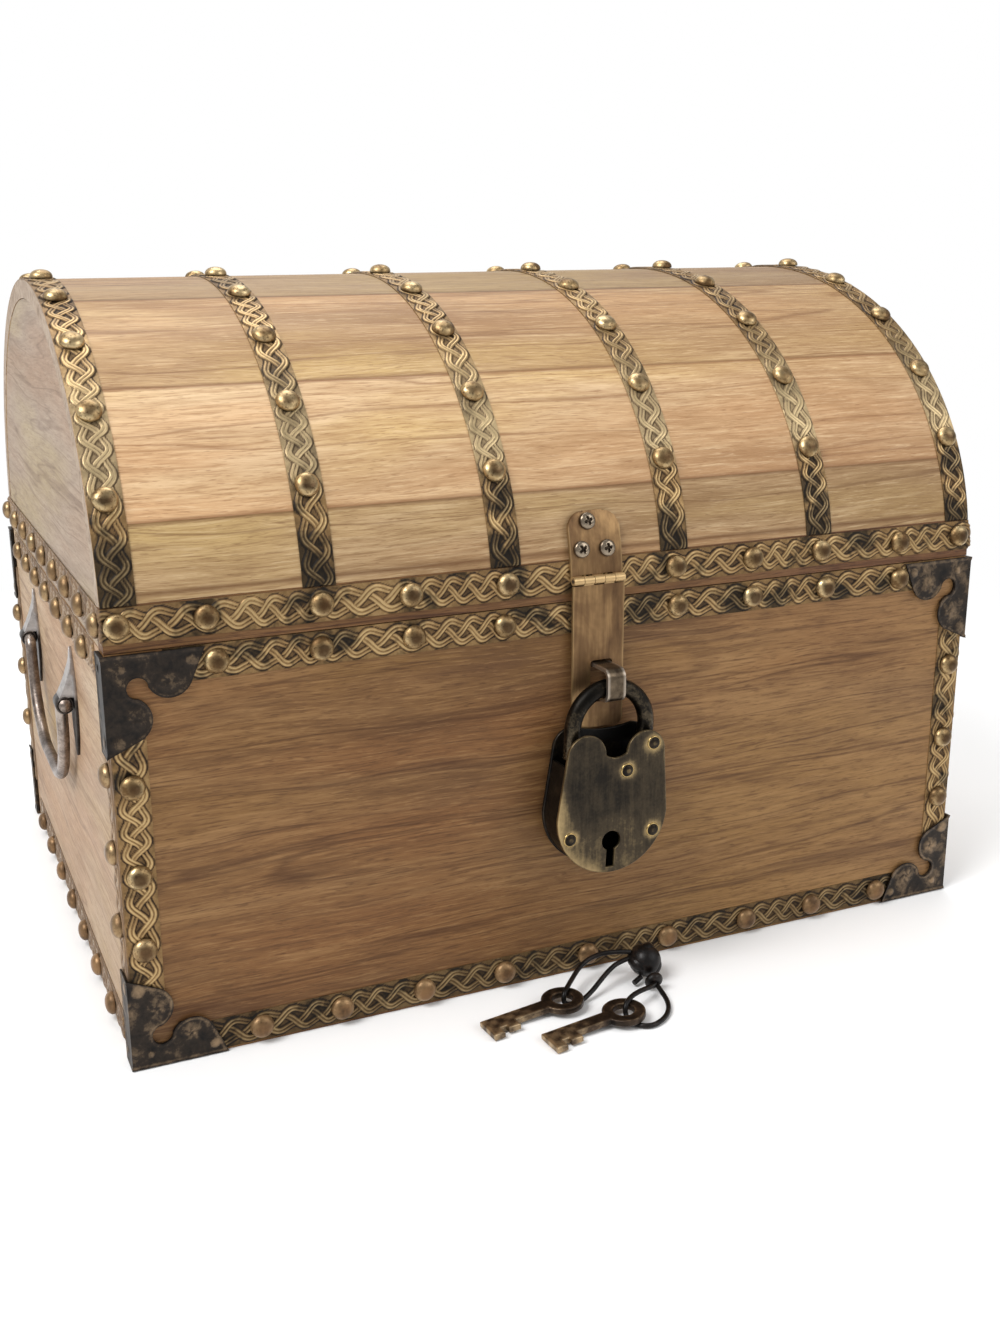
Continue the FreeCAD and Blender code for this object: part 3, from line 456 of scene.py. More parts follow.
def plait_brass(name, on_dome=False):
    """Embossed brass: dark in the hollows, rubbed on the strands, with black tarnish. It is
    blackest low down, and on the dome a painted highlight stretches above that."""
    made = Shader(name)
    height = made.parts()[2]
    patches = made.noise(34, 4, 0.6)
    specks = made.noise(420, 3, 0.65)
    worn = made.attribute("relief") + (patches - 0.5) * 0.75 + (specks - 0.5) * 0.42
    colour = worn.ramp(
        (0.06, linear(34, 25, 17)), (0.26, linear(82, 62, 40)), (0.52, linear(134, 106, 70)),
        (0.95, linear(188, 160, 114)))
    stains = made.noise(40, 4, 0.65, 0.4, (3, 1, 7))
    foot = (height * 10.0).ramp((0.12, 0.6), (0.3, 0.0))
    stained = stains.ramp((0.40, 0.9), (0.50, 0.0)).maths("MAXIMUM", foot)
    if on_dome:
        low = (height - 0.252) * -32.0 + (stains - 0.5) * -4.0
        stained = (stained * 0.45).maths("MAXIMUM", low.ramp((0.35, 0.0), (0.8, 0.9)))
        # A painted highlight: a pale stretch across the dome's strips where the top light would shine
        # on them.
        bright = (height * 3.0).ramp(
            (0.735, 0.0), (0.78, 0.5), (0.85, 0.45), (0.90, 0.1), (0.96, 0.0))
        painted_highlight = worn.ramp((0.1, linear(118, 96, 68)), (0.6, linear(222, 202, 160)))
        colour = colour.towards(painted_highlight, bright)
    tarnish = worn.ramp(
        (0.3, linear(20, 17, 13)), (0.7, linear(72, 60, 44)), (1.05, linear(132, 114, 84)))
    colour = dulled_ends(made, colour.towards(tarnish, stained), linear(150, 124, 100), 0.55)
    shine = worn.ramp((0.2, 0.6), (0.8, 0.36))
    gloss = worn.ramp((0.15, 0.2), (0.6, 0.75))
    return made.finish(colour, shine, gloss, specks.bump(0.00025, 0.5), 0.2)


def nail_brass(name):
    """Antique brass nail heads: pale rims, a painted dark reflection on side-facing crowns, painted
    shade at the foot, and dull low down.
    """
    made = Shader(name)
    height = made.attribute("relief")
    patches = made.noise(120, 3, 0.6)
    specks = made.noise(900, 3, 0.6)
    colour = patches.ramp(
        (0.34, linear(104, 80, 52)), (0.48, linear(164, 138, 98)), (0.66, linear(208, 184, 140)))
    # Painted reflection: the crowns of heads that face aside are darkened, as if they showed the dark
    # room.
    level = made.parts("Normal")[2].ramp((0.35, 1.0), (0.8, 0.2))
    crown = (height + (patches - 0.5) * 0.5).ramp((0.72, 0.0), (0.96, 0.9)) * level
    colour = colour.towards(linear(62, 42, 26), crown)
    colour = colour.towards(linear(74, 54, 36), specks.ramp((0.34, 0.7), (0.46, 0.0)))
    # Painted shade round the foot of each head, where it meets the strip.
    colour = colour.towards(linear(48, 36, 24), height.ramp((0.0, 0.75), (0.22, 0.0)))
    colour = dulled_ends(made, colour, linear(136, 110, 82), 0.6)
    low = (made.parts()[2] * 10.0).ramp((0.15, 1.0), (0.75, 0.0))
    dull = patches.ramp((0.38, linear(82, 60, 40)), (0.6, linear(136, 102, 68)))
    colour = colour.towards(dull, low * 0.75)
    shine = patches.ramp((0.3, 0.5), (0.7, 0.32))
    normal = specks.bump(0.00012, 0.4, patches.bump(0.0007, 0.35))
    return made.finish(colour, shine, low.ramp((0.0, 0.9), (1.0, 0.5)), normal, 0.3)


def metal(name, tones, roughness, patch=60, speck=500, metallic=0.9, dents=0.0005, specular=0.5):
    """Worn metal or leather in dark, middle and bright screen tones."""
    dark, middle, bright = (linear(*tone) for tone in tones)
    made = Shader(name)
    patches = made.noise(patch, 4, 0.62, 0.3)
    specks = made.noise(speck, 3, 0.6)
    blend = patches + (specks - 0.5) * 0.4
    colour = blend.ramp((0.34, dark), (0.50, middle), (0.68, bright))
    shine = blend.ramp((0.3, min(1.0, roughness + 0.16)), (0.7, roughness))
    normal = specks.bump(dents * 0.3, 0.5, patches.bump(dents, 0.5))
    return made.finish(colour, shine, metallic, normal, specular)


def rubbed_metal(name, tones, roughness, streak=(420, 420, 50), metallic=0.85, mottle=0.0):
    """Painted or darkened metal, rubbed bright where the piece's rub attribute is high."""
    dark, middle, bright = (linear(*tone) for tone in tones)
    made = Shader(name)
    patches = made.noise(70, 4, 0.6, 0.2)
    brushed = made.noise(streak, 3, 0.6)
    specks = made.noise(800, 2, 0.6)
    blend = made.attribute("rub") * 0.62 + patches * 0.42
    blend = blend + (brushed - 0.5) * 0.34 + (specks - 0.5) * 0.16
    if mottle:
        blend = blend + (made.noise(190, 4, 0.65, 0.6) - 0.5) * mottle
    colour = blend.ramp((0.12, dark), (0.34, middle), (0.72, bright))
    shine = blend.ramp((0.2, min(1.0, roughness + 0.12)), (0.7, roughness))
    normal = brushed.bump(0.00015, 0.4, patches.bump(0.0006, 0.35))
    return made.finish(colour, shine, metallic, normal)


def hasp_finish(name):
    """Dull brass of the hasp, bright on its barrel and along its two edges."""
    made = Shader(name)
    x, y, z = made.parts()
    behind = (y - hasp_barrel_y).maths("POWER", 2.0)
    above = (z - hasp_barrel_z).maths("POWER", 2.0)
    on_barrel = ((behind + above).maths("SQRT") * 100.0).ramp((0.215, 1.0), (0.25, 0.0))
    on_edge = (abs(x - hasp_centre) * 50.0).ramp((0.63, 0.0), (0.672, 0.6))
    patches = made.noise((48, 48, 30), 4, 0.6, 0.3)
    brushed = made.noise((500, 500, 40), 3, 0.6)
    blend = patches + (brushed - 0.5) * 0.35
    colour = blend.ramp(
        (0.32, linear(88, 64, 42)), (0.50, linear(118, 90, 60)), (0.68, linear(156, 124, 84)))
    colour = colour.towards(linear(168, 140, 98), on_edge)
    colour = colour.towards(linear(192, 162, 116), on_barrel)
    normal = brushed.bump(0.00012, 0.4, patches.bump(0.0005, 0.4))
    return made.finish(colour, blend.ramp((0.3, 0.46), (0.7, 0.34)), 0.75, normal)


def staple_finish(name, centre, edge):
    """Grey steel strip with bright edges, partly bare worn steel and partly a painted highlight on
    their bevels.
    """
    made = Shader(name)
    # Bright edges: partly bare worn steel, partly a painted highlight along their bevels.
    edge_wear_and_highlight = (abs(made.parts()[0] - centre) / edge).ramp((0.66, 0.0), (0.90, 1.0))
    patches = made.noise(160, 4, 0.6, 0.2)
    colour = patches.ramp((0.34, linear(56, 46, 36)), (0.66, linear(112, 98, 80)))
    colour = colour.towards(linear(160, 148, 134), edge_wear_and_highlight)
    shine = patches.ramp((0.3, 0.42), (0.7, 0.26))
    return made.finish(colour, shine, 0.9, patches.bump(0.0004, 0.5))


board_tones = (linear(158, 122, 80), linear(124, 90, 54), linear(84, 55, 31))
panel_side_tones = (linear(186, 164, 136), linear(168, 142, 114), linear(130, 102, 76))
# The lid's two ends are toned darker and greyer than the case's side panels: painted shade.
shaded_end_tones = (linear(176, 158, 138), linear(156, 137, 118), linear(122, 102, 84))
rail_tones = (linear(134, 98, 64), linear(112, 78, 50), linear(78, 50, 32))
lid_tones = (
    (linear(202, 176, 138), linear(174, 145, 107), linear(124, 93, 60)),
    (linear(222, 194, 156), linear(198, 166, 126), linear(150, 113, 76)),
    (linear(208, 180, 140), linear(184, 153, 111), linear(138, 104, 70)),
    (linear(176, 150, 116), linear(154, 128, 94), linear(118, 92, 66)),
)
plain_brass = plait_brass("plait_brass")
dome_brass = plait_brass("dome_brass", True)
nail_finish = nail_brass("nail_brass")
hasp_metal = hasp_finish("hasp_brass")
staple_metal = staple_finish("staple_steel", staple_centre, staple_half_width)
iron = rubbed_metal("black_iron", ((14, 11, 9), (44, 35, 27), (140, 117, 90)), 0.4,
                    streak=300, metallic=0.6, mottle=0.6)
handle_metal = rubbed_metal("handle_steel", ((30, 26, 24), (70, 64, 60), (176, 170, 166)), 0.34,
                            streak=260, metallic=0.7, mottle=0.3)
screw_metal = rubbed_metal("screw_steel", ((24, 20, 17), (84, 72, 60), (150, 136, 118)), 0.26,
                           streak=500, metallic=0.95)
lock_metal = rubbed_metal("lock_bronze", ((32, 28, 23), (66, 57, 44), (160, 138, 98)), 0.3,
                          mottle=0.16)
rivet_metal = rubbed_metal("rivet_bronze", ((20, 17, 14), (52, 44, 34), (178, 152, 100)), 0.26)
key_metal = rubbed_metal("key_brass", ((26, 20, 15), (72, 58, 46), (176, 152, 118)), 0.3,
                         streak=260, metallic=0.8, mottle=0.5)
bail_metal = metal("bail_steel", ((92, 82, 76), (128, 116, 108), (172, 160, 150)), 0.3,
                   patch=70, speck=800, dents=0.0003)
dark_steel = metal("dark_steel", ((17, 15, 12), (32, 28, 23), (84, 74, 58)), 0.26,
                   patch=70, speck=900, dents=0.0003)
lock_dark = metal("lock_black", ((9, 8, 6), (17, 14, 11), (44, 37, 28)), 0.32,
                  patch=70, speck=700, metallic=0.7, dents=0.0004)
cord_black = metal("cord_black", ((7, 5, 4), (14, 10, 8), (34, 26, 22)), 0.28,
                   patch=260, speck=1500, metallic=0.0, specular=0.22)
steel = metal("steel", ((60, 55, 50), (100, 92, 86), (146, 138, 130)), 0.32,
              patch=80, speck=900, dents=0.0003)


def dress(names, material):
    for name in names:
        mesh = nodes[name].data
        mesh.materials.clear()
        mesh.materials.append(material)


def dress_wood():
    """Each board has its own tones and its own stretch of grain."""
    # The case's boards are painted paler toward the chest's right end, as light from that side.
    case_look = (board_tones, 0, 0.72, (), (board_tones[0], (0.45, 0.0), (1.0, 0.5)))
    looks = {
        "front_panel": case_look, "back_panel": case_look, "base_board": case_look,
        "left_panel": (panel_side_tones, 1, 0.7), "right_panel": (panel_side_tones, 1, 0.7),
        "lid_end_left": (shaded_end_tones, 1, 0.6), "lid_end_right": (shaded_end_tones, 1, 0.6),
        "lid_front_rail": (rail_tones,), "lid_back_rail": (rail_tones,),
    }
    for index, tones in enumerate(lid_tones + lid_tones[::-1]):
        # The staves are painted darker toward the chest's right end, as shade away from the light on
        # the left.
        painted_light_ramp = (tones[2], (0.05, 0.0), (1.0, 0.52))
        look = (tones, 0, 0.7, stave_ends[index:index + 2], painted_light_ramp, shaded_end_tones)
        looks["lid_stave_%d" % (index + 1)] = look
    for step, name in enumerate(sorted(looks)):
        dress([name], wood("wood_" + name, 0.31 + 1.37 * step, *looks[name]))


stave_ends = (0.049, 0.111, 0.242, 0.381, 0.5, 0.619, 0.758, 0.889, 0.951)
dress_wood()

slot_materials = {
    "nail_brass": nail_finish, "black_iron": iron, "hasp_brass": hasp_metal, "steel": steel,
    "lock_bronze": lock_dark, "key_brass": key_metal, "cord_black": cord_black,
}
for name, node in nodes.items():
    tag = node.data.materials[0].name if node.data.materials else ""
    for slot, material in slot_materials.items():
        if tag.startswith(slot):
            dress([name], material)
dress(["shackle"], dark_steel)
dress(["staple"], staple_metal)


# Meshes from points.
def tag_points(mesh, tag, values):
    """A value for each point, which the materials read by the tag's name."""
    layer = mesh.attributes.new(tag, "FLOAT", "POINT")
    layer.data.foreach_set("value", np.asarray(values, dtype=np.float32).reshape(-1))


def make_mesh(name, points, faces, tag="", values=()):
    mesh = bpy.data.meshes.new(name)
    mesh.from_pydata(points, [], faces)
    if tag:
        tag_points(mesh, tag, values)
    return mesh


def ring_faces(rings, sides, base=0, closed=False, flip=False):
    """Faces between rings of points, with a cap on each end unless the rings are closed."""
    faces = []
    for ring in range(rings if closed else rings - 1):
        low = base + ring * sides
        high = base + (ring + 1) % rings * sides
        for side in range(sides):
            after = (side + 1) % sides
            faces.append((low + side, low + after, high + after, high + side))
    if not closed:
        last = base + (rings - 1) * sides
        faces += [tuple(reversed(range(base, base + sides))), tuple(range(last, last + sides))]
    return [(face[0], *face[:0:-1]) for face in faces] if flip else faces


def circle_points(across, up, radius, count=32):
    angles = [2 * math.pi * step / count for step in range(count)]
    return [(across + radius * math.cos(angle), up + radius * math.sin(angle)) for angle in angles]


def stack(x, y, z):
    return np.stack(np.broadcast_arrays(x, y, z), axis=-1)


def shade_smooth(mesh, angle=65):
    mesh.shade_smooth()
    mesh.set_sharp_from_angle(angle=math.radians(angle))


def joined(name, meshes):
    """One mesh out of several."""
    whole = bmesh.new()
    for mesh in meshes:
        whole.from_mesh(mesh)
    result = bpy.data.meshes.new(name)
    whole.to_mesh(result)
    whole.free()
    for mesh in meshes:
        bpy.data.meshes.remove(mesh)
    shade_smooth(result)
    return result


def add_piece(name, data, material, body, slot, *replaced):
    piece = placed(name, data)
    data.materials.append(material)
    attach(piece, body)
    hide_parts(*replaced)
    return piece


# Strips. Along runs from their start, across from their middle, and out from what carries them.
def plait(along, across):
    """Relief and tone of a three-strand plait, from 0 to 1. Each strand is a double ridge
    that hooks round the edge. The sheet lies low but isn't dark."""
    relief = np.zeros(np.broadcast(along, across).shape)
    tone = np.zeros(relief.shape)
    nearest = np.full(relief.shape, 9.0)
    along = along + plait_wander * np.sin(2 * math.pi * along / plait_wander_pitch)
    for strand in range(3):
        turn = 2 * math.pi * (along / plait_pitch + strand / 3)
        centre = plait_swing * (np.sin(turn) - plait_hook * np.cos(3 * turn))
        slope = np.cos(turn) + 3 * plait_hook * np.sin(3 * turn)
        slope = plait_swing * 2 * math.pi / plait_pitch * slope
        distance = np.abs(across - centre) / np.sqrt(1 + slope ** 2) / strand_half
        ridge = np.sin(math.pi * (0.12 + 0.88 * np.clip(distance, 0, 1)))
        level = (1 - weave_share) * ridge + weave_share * (0.5 + 0.5 * np.sin(2 * turn))
        over = (distance < 1) & (level + 0.35 * np.sin(2 * turn) > relief)
        relief = np.where(over, level, relief)
        tone = np.where(over, ridge ** 1.6 * (0.84 + 0.16 * np.sin(2 * turn)), tone)
        nearest = np.minimum(nearest, distance)
    outside = np.clip((np.abs(across) - 3.6 * mm) / (1.6 * mm), 0.7, 1)
    sheet_tone = np.clip((nearest - 1) * 3.2, 0, 0.5) * outside
    return relief, np.where(nearest < 1, tone, sheet_tone)


def rows_across():
    """Places across a strip, closer together at its two edges."""
    half = band_width / 2
    inner = np.linspace(0.25 * mm - half, half - 0.25 * mm, relief_rows - 2)
    return np.concatenate(([-half, 0.02 * mm - half], inner[1:-1], [half - 0.02 * mm, half]))


def strip_mesh(name, length, place, shift=0.0, closed=False):
    """place(along, across, out) gives the points of a strip, and shift moves its plait on."""
    count = max(2, int(length / relief_step))
    along = np.linspace(0, length, count + 1)
    if closed:
        along = along[:-1]
    u, v = np.meshgrid(along, rows_across(), indexing="ij")
    relief, tone = plait(u + shift, v)
    out = sheet_level + (band_thickness - sheet_level) * relief
    out[:, 0] = 0
    out[:, -1] = 0
    if not closed:
        ends = np.minimum(u, length - u) < 0.3 * mm
        out = np.where(ends, np.minimum(out, sheet_level), out)
    points = place(u, v, out).reshape(-1, 3).tolist()
    faces = ring_faces(len(along), relief_rows, closed=closed, flip=True)
    mesh = make_mesh(name, points, faces, "relief", tone)
    mesh.validate()
    mesh.update()
    shade_smooth(mesh)
    return mesh


def level_strips():
    """Strips along the top and the bottom of the case."""
    front_length = 2 * (half_width - strip_start)
    side_length = 2 * (half_depth - strip_start)
    for height, word, shift in (
        (case_band_height, "case_top", 0.019), (bottom_band_height, "bottom", 0.007),
    ):
        def on_front(u, v, out):
            return stack(-side * (u - front_length / 2), side * (half_depth + out), height + v)

        def on_side(u, v, out):
            return stack(side * (half_width + out), side * (u - side_length / 2), height + v)

        for side, end, length, place, step in (
            (-1, "front", front_length, on_front, 1), (1, "back", front_length, on_front, 3),
            (-1, "left", side_length, on_side, 4), (1, "right", side_length, on_side, 6),
        ):
            name = "%s_plait_%s" % (word, end)
            mesh = strip_mesh(name, length, place, shift * step)
            add_piece(name, mesh, plain_brass, "case", "braid_brass", "%s_band_%s" % (word, end))


def corner_strips():
    """Strips folded over the four upright corners, with a plait on each face."""
    length = case_height - 2 * strip_start
    meshes = []
    for index, (side, end) in enumerate(((-1, -1), (1, -1), (1, 1), (-1, 1))):
        def on_front(u, v, out):
            x = side * (half_width - band_width / 2 + v)
            return stack(x, end * (half_depth + out), strip_start + u)

        def on_side(u, v, out):
            y = end * (half_depth - band_width / 2 + v)
            return stack(side * (half_width + out), y, strip_start + u)

        for face, place in enumerate((on_front, on_side)):
            name = "corner_%d_%d" % (index, face)
            mesh = strip_mesh(name, length, place, 0.011 * (2 * index + face))
            if (side * end > 0) == (face == 0):
                mesh.flip_normals()
            meshes.append(mesh)
    mesh = joined("corner_plaits", meshes)
    add_piece("corner_plaits", mesh, plain_brass, "case", "braid_brass", "corner_bands")


level_strips()
corner_strips()


# The lid's curve is half an ellipse that stands on the seam. A turn share of 0 is the
# front foot, a half is the crown and 1 is the back foot.
def dome_place(out, share):
    angle = math.pi * share
    return -(half_depth + out) * np.cos(angle), seam_height + (lid_rise + out) * np.sin(angle)


def dome_normal(share):
    angle = math.pi * share
    return Vector((0, -math.cos(angle) / half_depth, math.sin(angle) / lid_rise)).normalized()


def share_at(height, out=0.0):
    return math.asin((height - seam_height) / (lid_rise + out)) / math.pi


def dome_strips():
    start = share_at(lid_band_high + band_gap)
    shares = np.linspace(start, 1 - start, 600)
    y, z = dome_place(band_seat + band_thickness, shares)
    travelled = np.concatenate(([0], np.cumsum(np.hypot(np.diff(y), np.diff(z)))))
    for index, place_share in enumerate(band_place_shares):
        middle = chest_width * (place_share - 0.5)

        def place(u, v, out):
            y, z = dome_place(band_seat + out, np.interp(u, travelled, shares))
            return stack(middle + v, y, z)

        name = "dome_plait_%d" % (index + 1)
        mesh = strip_mesh(name, travelled[-1], place, 0.013 * index)
        mesh.flip_normals()
        add_piece(name, mesh, dome_brass, "lid", "braid_brass", "dome_band_%d" % (index + 1))


def lid_ring():
    """One strip bent round the foot of the lid."""
    width = half_width + band_seat
    depth = half_depth + band_seat
    front = 2 * width
    side = 2 * depth
    length = 2 * (front + side)

    def place(u, v, out):
        height = (lid_band_low + lid_band_high) / 2 + v
        rise = np.sqrt(1 - ((height - seam_height) / (lid_rise + band_seat + out)) ** 2)
        x_reach = width + out
        y_reach = (depth + out) * rise
        faces = [u < front, u < front + side, u < 2 * front + side]
        back = 1 - (u - front - side) / width
        left = 1 - (u - 2 * front - side) / depth
        x = np.select(faces, [x_reach * (u / width - 1), x_reach, x_reach * back], -x_reach)
        y = np.select(faces, [-y_reach, y_reach * ((u - front) / depth - 1), y_reach], y_reach * left)
        return stack(x, y, height)

    mesh = strip_mesh("lid_plait", length, place, shift=0.004, closed=True)
    add_piece("lid_plait", mesh, plain_brass, "lid", "braid_brass", "lid_band")


dome_strips()
lid_ring()


# Heads of nails, rivets and screws.
def turned_heads(name, profile, spots, tag, sides=28, pressed=None):
    """Heads turned from (radius, height, value) steps, one at each (place, normal). A last
    radius of 0 is a point. pressed(x, y, height, value) gives a new height and value."""
    points, faces, values = [], [], []
    pointed = profile[-1][0] == 0
    rings = len(profile) - pointed
    for place, normal in spots:
        base = len(points)
        turn = Vector((0, 0, 1)).rotation_difference(normal).to_matrix()
        for radius, height, value in profile:
            for x, y in circle_points(0, 0, radius, sides if radius else 1):
                z, worn = pressed(x, y, height, value) if pressed else (height, value)
                points.append(place + turn @ Vector((x, y, z)))
                values.append(worn)
        faces += ring_faces(rings, sides, base)
        if pointed:
            last = faces.pop()
            faces += [(low, after, len(points) - 1) for low, after in zip(last, last[1:] + last[:1])]
    return make_mesh(name, points, faces, tag, values)


def add_nails(name, spots, body, node):
    profile = [(nail_width / 2, 0, 0)]
    for index in range(8):
        angle = math.pi / 2 * index / 8
        share = 0.12 + 0.88 * math.sin(angle)
        profile.append((nail_width / 2 * math.cos(angle) ** 0.9, nail_height * share, share))
    mesh = turned_heads(name, profile + [(0, nail_height, 1)], spots, "relief")
    shade_smooth(mesh, 60)
    add_piece(name, mesh, nail_finish, body, "nail_brass", node)


def case_nail_spots():
    face_x, edge_x = half_width + band_thickness, half_width - band_width / 2
    face_y, edge_y = half_depth + band_thickness, half_depth - band_width / 2
    spots = []

    def add(x, y, z, across, ahead):
        spots.append((Vector((x, y, z)), Vector((across, ahead, 0))))

    for shares, end, height in (
        (case_front_shares, -1, case_band_height), (bottom_front_shares, -1, bottom_band_height),
        (case_back_shares, 1, case_band_height), (bottom_front_shares, 1, bottom_band_height),
    ):
        for share in shares:
            add(chest_width * (share - 0.5), end * face_y, height, 0, end)
    for side in (-1, 1):
        for height in (case_band_height, bottom_band_height):
            for share in case_side_shares:
                add(side * face_x, chest_depth * (share - 0.5), height, side, 0)
        for end in (-1, 1):
            for share in corner_front_shares:
                add(side * edge_x, end * face_y, case_height * share, 0, end)
            for share in corner_side_shares:
                add(side * face_x, end * edge_y, case_height * share, side, 0)
    return spots


def lid_nail_spots():
    middle_height = (lid_band_low + lid_band_high) / 2
    middle = share_at(middle_height)
    seat = band_seat + band_thickness
    spots = []

    def on_dome(turn, along):
        y, z = dome_place(seat, turn)
        spots.append((Vector((chest_width * (along - 0.5), y, z)), dome_normal(turn)))

    for share in lid_front_shares:
        on_dome(middle, share)
    for share in lid_back_shares:
        on_dome(1 - middle, share)
    for side in (-1, 1):
        for share in lid_side_shares:
            place = Vector((side * (half_width + seat), chest_depth * (share - 0.5), middle_height))
            spots.append((place, Vector((side, 0, 0))))
    for share in band_place_shares:
        for index in range(dome_nail_count):
            on_dome(dome_nail_first_share + dome_nail_step_share * index, share)
    return spots


add_nails("case_nail_heads", case_nail_spots(), "case", "case_nails")
add_nails("lid_nail_heads", lid_nail_spots(), "lid", "lid_nails")


# Plates cut from an outline.
def arc_points(start, middle, end, count=10):
    """Places on the arc through three places, without the first."""
    a, b, c = complex(*start), complex(*middle), complex(*end)
    ratio = (c - a) / (b - a)
    centre = a + (b - a) * (ratio - abs(ratio) ** 2) / (2j * ratio.imag)
    full = 2 * math.pi
    sweep = cmath.phase((c - centre) / (a - centre)) % full
    if cmath.phase((b - centre) / (a - centre)) % full > sweep:
        sweep -= full
    turns = [cmath.rect(1, sweep * (step + 1) / count) for step in range(count)]
    spots = [centre + (a - centre) * turn for turn in turns]
    return [(spot.real, spot.imag) for spot in spots]


def outline(*steps):
    """A line through places. A step of (middle, end, count) is an arc to its end."""
    line = []
    for step in steps:
        if isinstance(step[0], tuple):
            line += arc_points(line[-1], *step)
        else:
            line.append(step)
    return line


def moved(points, matrix):
    turned = np.array(matrix)
    return points @ turned[:3, :3].T + turned[:3, 3]


def is_left_turning(loop):
    area = sum(x0 * y1 - x1 * y0 for (x0, y0), (x1, y1) in zip(loop, loop[1:] + loop[:1]))
    return area > 0


def distance_to(places, loop):
    """Distance of each place from a closed line."""
    nearest = np.full(len(places), 1.0)
    ends = np.array(loop[1:] + loop[:1])
    for start, end in zip(np.array(loop), ends):
        along = end - start
        share = np.clip(((places - start) @ along) / max(along @ along, 1e-12), 0, 1)
        nearest = np.minimum(nearest, np.linalg.norm(places - start - share[:, None] * along, axis=1))
    return nearest


def plate_piece(name, loops, thickness, shape, rub, rounding, cell, folds=()):
    """A flat plate with rounded edges, cut into cells so that it can be bent and embossed.
    shape(places, out, edge) gives its points, where out is 0 on the back and 1 on the front,
    and rub(places, edge) its worn places. The first loop is its outline."""
    curve = bpy.data.curves.new(name, "CURVE")
    curve.dimensions = "2D"
    curve.fill_mode = "BOTH"
    curve.extrude = thickness / 2 - rounding
    curve.bevel_depth = rounding
    curve.bevel_resolution = 2
    curve.offset = -rounding
    for index, loop in enumerate(loops):
        ordered = loop if is_left_turning(loop) == (index == 0) else loop[::-1]
        spline = curve.splines.new("POLY")
        spline.points.add(len(ordered) - 1)
        for point, (x, y) in zip(spline.points, ordered):
            point.co = (x, y, 0, 1)
        spline.use_cyclic_u = True
    holder = placed(name, curve)
    graph = bpy.context.evaluated_depsgraph_get()
    mesh = bpy.data.meshes.new_from_object(holder.evaluated_get(graph))
    bpy.data.objects.remove(holder)
    bpy.data.curves.remove(curve)
    grid = bmesh.new()
    grid.from_mesh(mesh)
    bmesh.ops.remove_doubles(grid, verts=grid.verts, dist=1e-6)
    for axis in (0, 1):
        values = [vertex.co[axis] for vertex in grid.verts]
        cuts = list(np.arange(min(values) + cell / 2, max(values), cell))
        if axis == 0:
            cuts += list(folds)
        for cut in cuts:
            place, normal = [0, 0, 0], [0, 0, 0]
            place[axis] = cut
            normal[axis] = 1
            everything = grid.verts[:] + grid.edges[:] + grid.faces[:]
            bmesh.ops.bisect_plane(grid, geom=everything, plane_co=place, plane_no=normal, dist=1e-6)
    grid.to_mesh(mesh)
    grid.free()
    points = np.zeros(len(mesh.vertices) * 3)
    mesh.vertices.foreach_get("co", points)
    points = points.reshape(-1, 3)
    places = points[:, :2]
    edge = np.min([distance_to(places, loop) for loop in loops], axis=0)
    out = points[:, 2] / thickness + 0.5
    mesh.vertices.foreach_set("co", shape(places, out, edge).reshape(-1))
    tag_points(mesh, "rub", rub(places, edge))
    mesh.update()
    shade_smooth(mesh, 50)
    return mesh


# Corner plates.
def bracket_outline():
    return outline(
        (-bracket_flange, 0), (bracket_reach, 0), (bracket_shoulder, bracket_shoulder_drop),
        ((bracket_lobe_place, bracket_lobe), (bracket_root, bracket_waist), 14),
        ((bracket_web, bracket_web), (bracket_waist, bracket_root), 12),
        ((bracket_lobe, bracket_lobe_place), (bracket_shoulder_drop, bracket_shoulder), 14),
        (0, bracket_reach), (-bracket_flange, bracket_reach))


# Bosses pressed into a corner plate: along, down and radius. The last two are flowers.
bracket_bosses = (
    (9 * mm, 6.5 * mm, 1.7 * mm), (5.2 * mm, 38 * mm, 3.4 * mm), (38 * mm, 5.2 * mm, 2.6 * mm),
    (27.5 * mm, 13 * mm, 4.6 * mm), (13 * mm, 28 * mm, 4.6 * mm),
)


def bracket_relief(along, down, edge):
    """Forms pressed into a corner plate, from 0 to 1, and how rubbed they are."""
    rim = np.clip(1 - np.abs(edge - 1.0 * mm) / (0.8 * mm), 0, 1)
    relief = 0.6 * rim
    rubbed = 0.35 * rim
    for index, (centre_along, centre_down, radius) in enumerate(bracket_bosses):
        apart = np.hypot(along - centre_along, down - centre_down) / radius
        if index < 3:
            boss = np.sqrt(np.clip(1 - apart ** 2, 0, 1))
        else:
            angle = np.arctan2(down - centre_down, along - centre_along)
            petals = 0.45 + 0.55 * np.cos(2.5 * angle + 2.2 * apart) ** 2
            boss = petals * np.clip(1.25 - apart, 0, 1) * np.clip(apart * 3, 0.4, 1)
        relief = np.maximum(relief, boss)
        rubbed = np.maximum(rubbed, 0.7 * boss)
    return relief, rubbed


